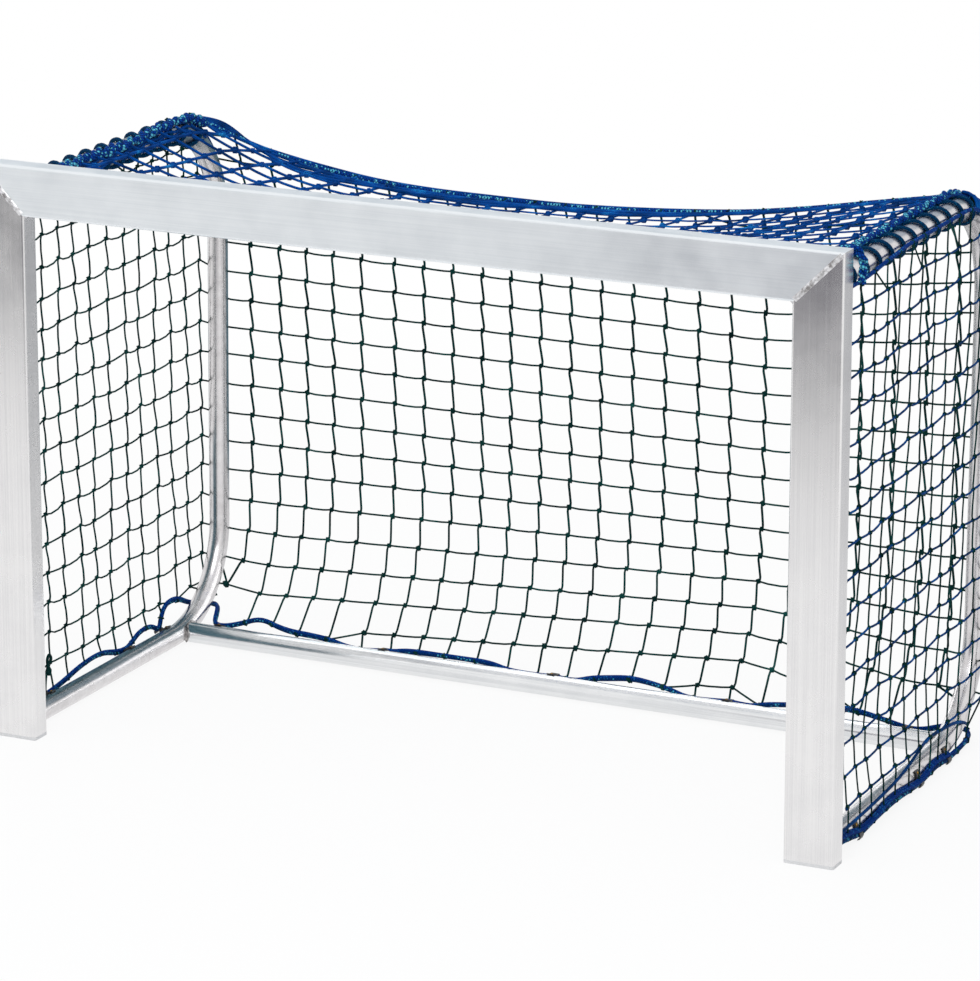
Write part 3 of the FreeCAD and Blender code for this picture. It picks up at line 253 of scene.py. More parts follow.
@dataclass(frozen=True)
class BraidedRope(Finish):
    """Braided polypropylene rope: 16 flat bundles crossing, with light marker bundles among them and painted shade in
    the hollows between the bundles.
    """

    coordinates: ClassVar[str] = "UV"
    ground: str = "#0B4490"
    # Colour of the painted shade in the hollows between the bundles.
    shade: str = "#021B42"
    marker: str = "#6CC6DA"
    marked: float = 0.2
    bundle: float = 4.0
    bundles: int = 4

    def shader(self, tree: Tree, where: Socket) -> Node:
        """Bundles cross as diamonds, with painted shade in the hollows between them: the UV map runs in millimetres
        along the rope and in turns round it.
        """
        cut = add_node(tree, "SeparateXYZ", {0: where}).outputs
        # A real bundle crosses every 2 mm; it is drawn every 4 to 7 mm to show in the render.
        along = add_node(tree, "Math", {"operation": "DIVIDE", 0: cut["X"], 1: self.bundle})
        waves, cells = [], []
        for turns in (self.bundles, -self.bundles):
            slant = add_node(tree, "Math", {"operation": "MULTIPLY_ADD", 0: cut["Y"], 1: turns, 2: along})
            phase = add_node(tree, "Math", {"operation": "MULTIPLY", 0: slant, 1: math.pi})
            waves.append(add_node(tree, "Math", {"operation": "SINE", 0: phase}))
            cells.append(add_node(tree, "Math", {"operation": "FLOOR", 0: slant}))
        weave = add_node(tree, "Math", {"operation": "MULTIPLY", 0: waves[0], 1: waves[1]})
        height = add_node(tree, "Math", {"operation": "ABSOLUTE", 0: weave})
        cell = add_node(tree, "CombineXYZ", {0: cells[0], 1: cells[1]})
        pick = add_node(tree, "TexWhiteNoise", {"noise_dimensions": "3D", "Vector": cell})
        # Where the rope is twisted the light bundles come to its face, for some 30 mm at a time.
        turned = add_node(tree, "TexNoise", {"Vector": where, "Scale": 0.05, "Detail": 1.0})
        share = add_node(tree, "MapRange", {"Value": turned, "From Min": 0.42, "From Max": 0.6,
                                            "To Min": self.marked * 0.2, "To Max": self.marked * 2.2})
        chosen = add_node(tree, "Math", {"operation": "LESS_THAN", 0: pick.outputs["Value"], 1: share})
        shown = add_node(tree, "Math", {"operation": "MULTIPLY", 0: chosen, 1: height})
        # Painted shade: the colour runs from the ground colour on the bundles' crowns to the shade colour in the
        # hollows between them.
        ground_and_painted_shade = add_node(tree, "Mix", {"data_type": "RGBA", 0: height, 6: srgb(self.shade), 7: srgb(self.ground)})
        tone = add_node(tree, "Mix", {"data_type": "RGBA", 0: shown, 6: ground_and_painted_shade.outputs[2], 7: srgb(self.marker)})
        return add_node(tree, "BsdfPrincipled", {
            "Roughness": 0.7, "Specular IOR Level": 0.05, "Base Color": tone.outputs[2],
            "Normal": add_node(tree, "Bump", {"Height": height, "Strength": 0.8, "Distance": 0.0008})})


@dataclass(frozen=True)
class KnottedTwine(Finish):
    """Twisted polyethylene twine, dull and dark, its colour uneven from length to length and dotted with painted
    glints.
    """

    deep: str = "#02181A"
    pale: str = "#0B3A37"
    # Colour of the painted glint, a highlight put into the colour.
    painted_glint: str = "#1C5A55"
    lay: float = 900.0

    def shader(self, tree: Tree, where: Socket) -> Node:
        """Colour drifts over 40 mm; the fibres' lay is 1 mm; where the mixed noise runs highest, the colour is a
        painted glint.
        """
        drift = add_node(tree, "TexNoise", {"Vector": where, "Scale": 24.0, "Detail": 3.0})
        fibre = add_node(tree, "TexNoise", {"Vector": where, "Scale": self.lay, "Detail": 2.0})
        mixed = add_node(tree, "Mix", {"data_type": "FLOAT", 0: 0.4, 2: drift, 3: fibre})
        # The top stop is a painted glint where the mixed noise peaks.
        stops = ((0.38, self.deep), (0.58, self.pale), (0.68, self.painted_glint))
        return add_node(tree, "BsdfPrincipled", {
            "Roughness": 0.65, "Specular IOR Level": 0.04,
            "Base Color": add_node(tree, "ValToRGB", {"Fac": mixed}, stops),
            "Normal": add_node(tree, "Bump", {"Height": fibre, "Strength": 0.5, "Distance": 0.0004})})


POST_METAL = DrawnAluminium("extruded_aluminium_upright", Grain.UP, colour="#EDECEC", shade="#E0DFE0")
BAR_METAL = DrawnAluminium("extruded_aluminium_crossbar", Grain.ACROSS, colour="#F4F8FB", shade="#EAEFF3",
                           roughness=0.34, stretch=0.75)
GROUND_METAL = DrawnAluminium("drawn_aluminium_straight_tube", Grain.ACROSS, roughness=0.2, stretch=0.3)
BENT_METAL = DrawnAluminium("drawn_aluminium_bent_tube", Grain.BENT, colour="#E4E2E3", shade="#D1CECF", roughness=0.25)
WELD = WeldBead("aluminium_weld_bead")
SOOTY_WELD = WeldBead("sooty_aluminium_weld_bead", "#B4B1B0", "#4C4848")
CAP_PLASTIC = MouldedPlastic("moulded_grey_polyamide", "#D8D8D9", 0.5)
CLIP_PLASTIC = MouldedPlastic("moulded_black_polyamide")
BRASS = TurnedBrass("weathered_brass")
# A rope's second colour is its painted shade in the hollows between the bundles.
EDGE_ROPE = BraidedRope("braided_edge_rope", "#004098", "#001B50", "#62C6D8", 0.3, 5.0, 3)
LACE_ROPE = BraidedRope("braided_lacing_rope", "#00406A", "#001E3A", "#0C5A80", 0.1)
PLAIN_ROPE = BraidedRope("braided_blue_rope", "#003E94", "#001E56", "#2478BC", 0.14)
GROUND_ROPE = BraidedRope("braided_ground_rope", "#003A7A", "#00183A", "#46AAC8", 0.2, 5.0, 3)
# A twine's last colour is its painted glint.
NET_TWINE = KnottedTwine("knotted_green_twine")
BLUE_TWINE = KnottedTwine("knotted_blue_twine", "#00203E", "#003C7A", "#0A64A6")
TOP_TWINE = KnottedTwine("knotted_bright_blue_twine", "#002452", "#004494", "#1E86C4")


@dataclass(frozen=True)
class Hoop:
    """The bent side tube's sizes, which the ropes and nets follow."""

    outboard: float = 641.0
    top: float = 826.0
    tube: float = 16.0
    bend: float = 155.0
    top_depth: float = 660.0
    foot_depth: float = 653.0
    front: float = 36.0

    @property
    def lean(self) -> float:
        """The upright's lean from vertical, in radians."""
        return math.atan2(self.top_depth - self.foot_depth, self.top - self.tube - 2 * self.bend)

    @property
    def straight(self) -> float:
        """Length of the straight top tube behind the frame."""
        return self.top_depth - self.bend * math.cos(self.lean) - self.front

    def beside_top(self, side: int, s: float, reach: float, degrees: float) -> Point:
        """Point beside the top tube.

        Args:
            side: -1 for the left hoop, 1 for the right.
            s: Distance along the tube's axis from the frame's back.
            reach: Distance from the axis.
            degrees: Angle round the tube, 0 outward and 90 up.

        Returns:
            The point in millimetres.
        """
        a = math.radians(degrees)
        turn = max(0.0, (s - self.straight) / self.bend)
        radius = self.bend + reach * math.sin(a)
        y = self.front + min(s, self.straight) + radius * math.sin(turn)
        z = self.top - self.bend + radius * math.cos(turn)
        return (side * (self.outboard + reach * math.cos(a)), y, z)

    def back_of(self, z: float, proud: float) -> float:
        """Depth of the hoop's back at a height, with a distance outside the tube."""
        ring = self.bend + self.tube + proud
        if z > self.top - self.bend:
            drop = min(ring, z - (self.top - self.bend))
            return self.top_depth - self.bend + math.sqrt(ring ** 2 - drop ** 2)
        if z < self.tube + self.bend:
            drop = min(ring, self.tube + self.bend - z)
            return self.foot_depth - self.bend + math.sqrt(ring ** 2 - drop ** 2)
        share = (z - self.tube - self.bend) / (self.top - self.tube - 2 * self.bend)
        return self.foot_depth + (self.top_depth - self.foot_depth) * share + self.tube + proud


HOOP = Hoop()


class Line(Enum):
    """How a cord's line is drawn through its points."""

    STRAIGHT = "POLY"
    CURVED = "NURBS"


def new_object(name: str, data: bpy.types.ID) -> bpy.types.Object:
    """A new object, in the scene."""
    made = bpy.data.objects.new(name, data)
    bpy.context.scene.collection.objects.link(made)
    return made


def tube_mesh(name: str, runs: Iterable[Sequence[Point]], radius: float, sides: int = 6,
              line: Line = Line.STRAIGHT, radii: Sequence[float] | None = None) -> Mesh:
    """Mesh of round cords along lines of points.

    Args:
        name: The mesh's name.
        runs: One list of points in millimetres for each cord.
        radius: The cords' radius in millimetres.
        sides: Faces round a cord, an even number.
        line: Straight runs or a smooth line.
        radii: A radius factor for each cord, or none.

    Returns:
        The mesh, its UV map in millimetres along each cord and in turns round it.
    """
    curve = bpy.data.curves.new(name, "CURVE")
    curve.dimensions = "3D"
    curve.bevel_depth = radius * 0.001
    curve.bevel_resolution = (sides - 4) // 2
    curve.use_fill_caps = True
    lengths = []
    for number, run in enumerate(runs):
        spline = curve.splines.new(line.value)
        spline.points.add(len(run) - 1)
        spots = [place(*p) for p in run]
        for point, spot in zip(spline.points, spots):
            point.co = (*spot, 1.0)
            point.radius = radii[number] if radii else 1.0
        if line is Line.CURVED:
            spline.order_u = 3
            spline.use_endpoint_u = True
            spline.resolution_u = 8
        lengths.append(sum((b - a).length for a, b in zip(spots, spots[1:])) * 1000)
    holder = new_object(name, curve)
    graph = bpy.context.evaluated_depsgraph_get()
    mesh = bpy.data.meshes.new_from_object(holder.evaluated_get(graph))
    bpy.data.objects.remove(holder)
    bpy.data.curves.remove(curve)
    mesh.name = name
    stretch = sum(lengths) / max(1, len(lengths))
    for corner in mesh.uv_layers[0].data if mesh.uv_layers else ():
        corner.uv[0] *= stretch
    return smoothed(mesh)


def smoothed(mesh: Mesh) -> Mesh:
    """The mesh, with all its faces shaded smooth."""
    mesh.polygons.foreach_set("use_smooth", [True] * len(mesh.polygons))
    return mesh


def drawn_line(points: Sequence[Point]) -> list[Point]:
    """Points in millimetres of the smooth line that a cord takes."""
    mesh = tube_mesh("line", [points], 0.0, line=Line.CURVED)
    out = [(v.co.x * 1000, v.co.y * 1000 + FRONT_FACE, v.co.z * 1000) for v in mesh.vertices]
    bpy.data.meshes.remove(mesh)
    return out


def evenly(points: Sequence[Point], step: float) -> list[Point]:
    """Points on a line a step apart, so that its pattern doesn't stretch."""
    out, left = [points[0]], step
    for a, b in zip(points, points[1:]):
        p, q = Vector(a), Vector(b)
        length, done = (q - p).length, 0.0
        while length - done >= left > 0:
            done += left
            out.append(tuple(p.lerp(q, done / length)))
            left = step
        left -= length - done
    if (Vector(out[-1]) - Vector(points[-1])).length > 0.3 * step:
        out.append(points[-1])
    return out


def add_piece(name: str, mesh: Mesh, finish: Finish, nodes: Sequence[str] = ()) -> None:
    """Adds a piece to the model, riding on its one body.

    Args:
        name: The piece's name.
        mesh: Its mesh, in place.
        finish: Its finish.
        nodes: The solids that it stands for.
    """
    piece = new_object(name, mesh)
    mesh.materials.append(finish.material())
    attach(piece, "root")
    if nodes:
        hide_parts(*nodes)
    log.info("%s: %d faces, %s", name, len(mesh.polygons), finish.name)


def finished(name: str, shape: bmesh.types.BMesh) -> Mesh:
    """Mesh of a worked shape, which is freed."""
    mesh = bpy.data.meshes.new(name)
    shape.to_mesh(mesh)
    shape.free()
    return mesh


def copies(shape: Mesh, moves: Iterable[Matrix]) -> list[Mesh]:
    """Copies of a mesh, each moved by a matrix. The mesh itself is removed."""
    out = []
    for move in moves:
        out.append(shape.copy())
        out[-1].transform(move)
    bpy.data.meshes.remove(shape)
    return out


def joined(name: str, meshes: Iterable[Mesh]) -> Mesh:
    """One mesh of several, which are removed."""
    whole = bmesh.new()
    whole.loops.layers.uv.new("UVMap")
    for mesh in meshes:
        whole.from_mesh(mesh)
        bpy.data.meshes.remove(mesh)
    return finished(name, whole)


@dataclass
class Frame:
    """The welded frame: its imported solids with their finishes, and the clips' rivets."""

    finishes: dict[str, Finish] = field(default_factory=lambda: {
        "left_post": POST_METAL, "right_post": POST_METAL, "crossbar": BAR_METAL,
        "left_hoop": BENT_METAL, "right_hoop": BENT_METAL, "rear_ground_tube": GROUND_METAL,
        "left_corner_weld": WELD, "right_corner_weld": WELD, "hoop_welds": WELD, "rear_tube_welds": SOOTY_WELD,
        "left_foot_cap": CAP_PLASTIC, "right_foot_cap": CAP_PLASTIC,
        "side_ground_clips": CLIP_PLASTIC, "rear_ground_clips": CLIP_PLASTIC,
        "crossbar_clips": CLIP_PLASTIC, "post_clips": CLIP_PLASTIC})
    clip_tips: tuple[Pair, ...] = ((-1, 20.0), (1, -25.0))
    side_clips: tuple[float, ...] = (131, 374, 488)
    rear_clips: tuple[float, ...] = (-580, -290, 0, 290, 580)
    rear_clip_depth: float = 527
    rivet_past_tip: float = 44
    rear_rivet_turn: float = 64

    def dress(self, nodes: dict[str, bpy.types.Object]) -> None:
        """Gives each solid its finish."""
        for name, finish in self.finishes.items():
            mesh = nodes[name].data
            mesh.materials.clear()
            mesh.materials.append(finish.material())
            log.info("%s: %s", name, finish.name)

    def rivets(self) -> None:
        """Domed brass rivet heads on the clips' bases."""
        reach = HOOP.tube + CLIP_GAP + CLIP_BASE
        spots: list[tuple[Point, Vector]] = []
        for side, tip in self.clip_tips:
            a = math.radians(tip + self.rivet_past_tip)
            out = Vector((side * math.cos(a), 0, math.sin(a)))
            spots += [((side * HOOP.outboard + out.x * reach, y, HOOP.tube + out.z * reach), out)
                      for y in self.side_clips]
        a = math.radians(self.rear_rivet_turn)
        out = Vector((0, math.cos(a), math.sin(a)))
        spots += [((x, self.rear_clip_depth + out.y * reach, HOOP.tube + out.z * reach), out)
                  for x in self.rear_clips]
        head = bmesh.new()
        bmesh.ops.create_uvsphere(head, u_segments=10, v_segments=6, radius=1.0)
        bmesh.ops.bisect_plane(head, geom=head.verts[:] + head.edges[:] + head.faces[:], plane_co=(0, 0, 0),
                               plane_no=(0, 0, -1), clear_outer=True)
        bmesh.ops.remove_doubles(head, verts=head.verts, dist=0.001)
        bmesh.ops.holes_fill(head, edges=head.edges[:])
        bmesh.ops.scale(head, vec=(0.0026, 0.0026, 0.0013), verts=head.verts)
        heads = copies(finished("rivet", head), (
            Matrix.Translation(place(*spot)) @ out.to_track_quat("Z", "Y").to_matrix().to_4x4() for spot, out in spots))
        add_piece("clip_rivets", smoothed(joined("clip_rivets", heads)), BRASS)


@dataclass
class Ropes:
    """The net's edge ropes, the lacing round the top tubes and the rope along the ground.

    The first fields are the ropes' radii; where the sides differ, -1 is the left one and 1 the right one.
    inner_lines and outer_lines are angles round a top tube by the distance along it, and left_line,
    right_line and rear_line are heights of the rope along the ground by the depth or by x.
    """

    laces: dict[int, float] = field(default_factory=lambda: {-1: 3.3, 1: 2.6})
    inner_edges: dict[int, float] = field(default_factory=lambda: {-1: 4.4, 1: 3.5})
    outer_edge: float = 2.9
    front_edge: float = 3.0
    front_depth: float = 41.8
    front_foot: float = 46.0
    top_clip_turn: float = 140.0
    post_clip_turn: float = -25.0
    border: float = 3.7
    border_right: float = 661.5
    border_left: float = 661.8
    border_rear: float = 548.2
    rear_seat: float = 23.6
    pitch: float = 47.0
    turns: int = 11
    first_turn: float = 62.0
    start_angle: float = 140.0
    corner: float = 32.0
    inner_lines: dict[int, tuple[Pair, ...]] = field(default_factory=lambda: {
        -1: ((0, 138), (120, 142), (300, 140), (420, 134), (560, 116)),
        1: ((0, 124), (120, 130), (300, 126), (420, 122), (560, 108))})
    outer_lines: dict[int, tuple[Pair, ...]] = field(default_factory=lambda: {
        -1: ((0, -25), (560, -20)), 1: ((0, -36), (70, -32), (150, -8), (240, 8), (560, 8))})
    back_line: tuple[Point, ...] = (
        (-624, 604, 824), (-604, 626, 808), (-564, 648, 786), (-504, 658, 768), (-440, 662, 754), (-360, 661, 745),
        (-260, 659, 739), (-150, 658, 737), (-40, 658, 738), (70, 659, 741), (170, 661, 748), (270, 664, 758),
        (370, 667, 773), (460, 667, 790), (540, 655, 806), (592, 632, 818), (622, 608, 825))
    left_line: tuple[Pair, ...] = (
        (50, 36), (92, 30), (131, 23.6), (150, 23.6), (190, 28), (240, 38), (300, 42), (350, 27), (374, 23.6),
        (392, 26), (425, 41), (462, 40), (488, 24))
    right_line: tuple[Pair, ...] = (
        (50, 20), (90, 15), (131, 6.9), (150, 7.5), (210, 12), (280, 13), (345, 8), (374, 6.9), (400, 8.5),
        (440, 12), (470, 9), (488, 6.9))
    rear_line: tuple[Pair, ...] = (
        (-580, 24), (-548, 34), (-511, 48), (-480, 37), (-455, 32), (-420, 31), (-388, 29), (-360, 22), (-335, 20),
        (-308, 21.5), (-290, 23.6), (-275, 24), (-256, 28), (-225, 30), (-150, 31), (-108, 29), (-84, 22), (-60, 20),
        (-20, 21.5), (0, 23.6), (18, 22), (38, 22), (60, 29), (90, 33), (130, 39), (175, 34), (200, 28), (216, 22),
        (240, 20), (272, 21.5), (290, 23.6), (308, 22), (328, 22), (350, 29), (380, 33), (440, 40), (500, 40),
        (548, 31), (580, 24))

    def edge_spot(self, side: int, s: float, inner: bool) -> Pair:
        """Reach and angle of an edge rope on a top tube: it rides up and down the tube between its ties."""
        if inner:
            wave = math.sin(s * math.tau / self.pitch + 0.6)
            reach = HOOP.tube + 2 * self.laces[side] + self.inner_edges[side] + 1.2 + 1.2 * wave
            return reach, between(s, self.inner_lines[side]) + 5 * wave + 3 * math.sin(s / 37)
        return HOOP.tube + 2 * self.laces[side] + self.outer_edge - 1.0, between(s, self.outer_lines[side])

    def rope(self, node: str, runs: Iterable[Sequence[Point]], radius: float, finish: Finish,
             word: str = "_braided", radii: Sequence[float] | None = None) -> None:
        """Adds a rope in place of its solid.

        Args:
            node: The solid.
            runs: One list of points in millimetres for each strand.
            radius: The strands' radius in millimetres.
            finish: The rope's finish.
            word: What the piece's name adds to the solid's.
            radii: A radius factor for each strand, or none.
        """
        mesh = tube_mesh(node + word, runs, radius, 8, radii=radii)
        add_piece(node + word, mesh, finish, [node])

    def lacing(self) -> None:
        """Lacing rope wound tightly round both top tubes, with one run to each."""
        runs, parts, radii = [], 24, list(self.laces.values())
        for side in (-1, 1):
            start, reach = self.first_turn - HOOP.front, HOOP.tube + self.laces[side] + 0.2
            runs.append([HOOP.beside_top(side, start + self.pitch * i / parts + 1.5 * math.sin(i / 40), reach,
                                         self.start_angle - 360 / parts * i) for i in range(self.turns * parts + 1)])
        self.rope("top_tube_lacing", runs, 1.0, LACE_ROPE, "_rope", radii)

    def tail(self, side: int) -> list[Point]:
        """Front end of an inner edge rope, brought over the tube behind the post's head and hanging outside."""
        top, out = (868, 682) if side > 0 else (853, 668)
        return [(side * (out - 1), 50, top - 44), (side * (out + 2), 49, top - 24), (side * (out + 1), 48, top - 7),
                (side * (out - 9), 47, top + 3), (side * (out - 26), 48, top + 1), (side * (out - 46), 54, top - 7)]

    def twisted(self, line: Sequence[Point], lift: float, pitch: float, strands: int) -> list[list[Point]]:
        """Strands twisted round a line.

        Args:
            line: The line, its points evenly spaced.
            lift: The strands' distance from it.
            pitch: Length of one turn.
            strands: How many there are.

        Returns:
            The strands' points.
        """
        spots = [Vector(p) for p in line]
        runs: list[list[Point]] = [[] for _ in range(strands)]
        travelled = 0.0
        for n, spot in enumerate(spots):
            ahead = (spots[min(n + 1, len(spots) - 1)] - spots[max(n - 1, 0)]).normalized()
            beside = ahead.cross(Vector((0.1, 0.2, 1))).normalized()
            over = beside.cross(ahead)
            travelled += (spot - spots[n - 1]).length if n else 0.0
            wave = 1 + 0.25 * math.sin(travelled / 23)
            for k, run in enumerate(runs):
                angle = travelled * math.tau / pitch + k * math.tau / strands
                run.append(tuple(spot + (beside * math.cos(angle) + over * math.sin(angle)) * lift * wave))
        return runs

    def tube_ropes(self) -> None:
        """Edge ropes along both sides of each top tube: the inner one is doubled and twisted."""
        end = HOOP.straight + HOOP.bend * math.radians(self.corner)
        for side, word in ((-1, "left"), (1, "right")):
            line = evenly(drawn_line(self.tail(side) + [HOOP.beside_top(side, s, *self.edge_spot(side, s, True))
                                                        for s in (34 + (end - 34) * i / 60 for i in range(61))]), 4)
            thick = self.inner_edges[side]
            self.rope(word + "_inner_rope", self.twisted(line, 0.83 * thick, 38, 2), thick, EDGE_ROPE)
            line = [HOOP.beside_top(side, s, *self.edge_spot(side, s, False))
                    for s in (9 + (end - 9) * i / 90 for i in range(91))]
            self.rope(word + "_outer_rope", [evenly(line, 6)], self.outer_edge, PLAIN_ROPE)

    def front_ropes(self) -> None:
        """Edge ropes in the clips behind the frame."""
        reach = HOOP.tube + CLIP_GAP + 2 * self.front_edge + CLIP_GAP + self.front_edge
        over, aside = math.radians(self.top_clip_turn), math.radians(self.post_clip_turn)
        top = HOOP.top + reach * math.sin(over)
        wide = HOOP.outboard + reach * math.cos(over) - 4
        out = HOOP.outboard + reach * math.cos(aside)
        high = HOOP.top + reach * math.sin(aside) - 5
        foot, depth = self.front_foot, self.front_depth
        for name, spots in (
                ("top_front_rope", [(-wide + 2 * wide * i / 40, depth, top) for i in range(41)]),
                ("left_front_rope", [(-out, depth, foot + (high - foot) * i / 24) for i in range(25)]),
                ("right_front_rope", [(out, depth, foot + (high - foot) * i / 24) for i in range(25)])):
            self.rope(name, [spots], self.front_edge, EDGE_ROPE)

    def back_at(self, x: float) -> Pair:
        """Depth and height of the rope over the net's upper back edge."""
        return (between(x, [(p[0], p[1]) for p in self.back_line]),
                between(x, [(p[0], p[2]) for p in self.back_line]))

    def back_path(self, along: float = 0.0, ahead: float = 0.0, above: float = 0.0, wander: float = 0.0) -> list[Point]:
        """Points over both bends and along the net's upper back edge.

        Args:
            along: Distance of the cord from the rope along the top tubes.
            ahead: Distance in front of the rope behind the mouth.
            above: Height over the rope.
            wander: How far the cord strays to and fro.

        Returns:
            The points from the left hoop's outside to the right hoop's.
        """
        s = HOOP.straight + HOOP.bend * math.radians(self.corner) + along
        turns = (10, 35, 60, 85, 108)
        rise = (0, 3, 6, 8, 9)
        reach = HOOP.tube + CLIP_GAP + self.border
        left = [HOOP.beside_top(-1, s, reach + up, a) for a, up in zip(turns, rise)]
        right = [HOOP.beside_top(1, s, reach + up, a) for a, up in zip(turns, rise)][::-1]
        middle = []
        for n, (x, y, z) in enumerate(self.back_line):
            stray = wander * math.sin(2.3 * n + along)
            end = smooth(627 - abs(x), 0, 120)
            wide = between(max(-350, min(330, x)), ((-350, 1.15), (60, 1.05), (330, 0.4))) * end
            middle.append((x, y - (ahead + stray) * wide - along * (1 - end), z + (above - 0.6 * stray) * wide))
        return left + middle + right

    def back_rope(self) -> None:
        """Rope over the net's upper back edge, thrown over both bends."""
        self.rope("back_top_rope", [evenly(drawn_line(self.back_path()), 5)], self.border, EDGE_ROPE)

    def border_path(self) -> list[Point]:
        """Points of the rope along the ground, from the right post round behind to the left one."""
        right = [(self.border_right, y, z) for y, z in self.right_line]
        left = [(-self.border_left, y, z) for y, z in self.left_line]
        rear = [(x, self.border_rear + 0.3 * max(0.0, self.rear_seat - z), z) for x, z in self.rear_line]
        right_corner = [(661.5, 520, 8), (662, 560, 11), (659, 590, 13), (648, 607, 16), (630, 600, 20), (612, 572, 23),
                        (600, 552, 24)]
        left_corner = [(-598, 552, 26), (-603, 572, 36), (-620, 606, 38), (-641, 630, 32), (-655, 617, 36),
                       (-662, 588, 42), (-662, 556, 57), (-662, 528, 63), (-662, 506, 60), (-662, 494, 44)]
        return right + right_corner + rear[::-1] + left_corner + left[::-1]

    @cached_property
    def border_line(self) -> list[Point]:
        """Points of the smooth line that the rope along the ground takes."""
        return drawn_line(self.border_path())

    def beside_border(self, up: float, inward: float, stray: float, right_only: bool) -> list[Point]:
        """Line of a cord bound to the ground rope.

        Args:
            up: Its height over the rope.
            inward: Its distance from the rope towards the goal.
            stray: How far it wanders.
            right_only: Whether it runs beside the right tube alone.

        Returns:
            Its points.
        """
        line = [Vector(p) for p in evenly(self.border_line, 8)]
        out = []
        for n, (a, b) in enumerate(zip(line, line[1:])):
            if right_only and (a.x < 655 or a.y > 500):
                continue
            inside = Vector((0, 0, 1)).cross(b - a).normalized()
            wave = stray * math.sin(n * 8 / 29)
            spot = a + inside * (inward + 0.7 * wave) + Vector((0, 0, up + wave))
            out.append((spot.x, spot.y, max(spot.z, self.border + 0.3)))
        return out

    def border_rope(self) -> None:
        """Rope through the clips on the ground tubes, with the net's selvedge cords bound to it."""
        self.rope("border_rope", [evenly(self.border_line, 5)], self.border, GROUND_ROPE)
        runs = [self.beside_border(2.6, 0.6, 1.1, False), self.beside_border(7.0, 1.5, 1.6, True),
                self.beside_border(5.5, -2.0, 1.6, True)]
        mesh = joined("border_selvedge_cords", [tube_mesh("cord", [run], 2.9, 6) for run in runs])
        add_piece("border_selvedge_cords", mesh, PLAIN_ROPE, ["border_rope"])

    def tie(self) -> None:
        """Ties all the ropes."""
        self.lacing()
        self.tube_ropes()
        self.front_ropes()
        self.back_rope()
        self.border_rope()


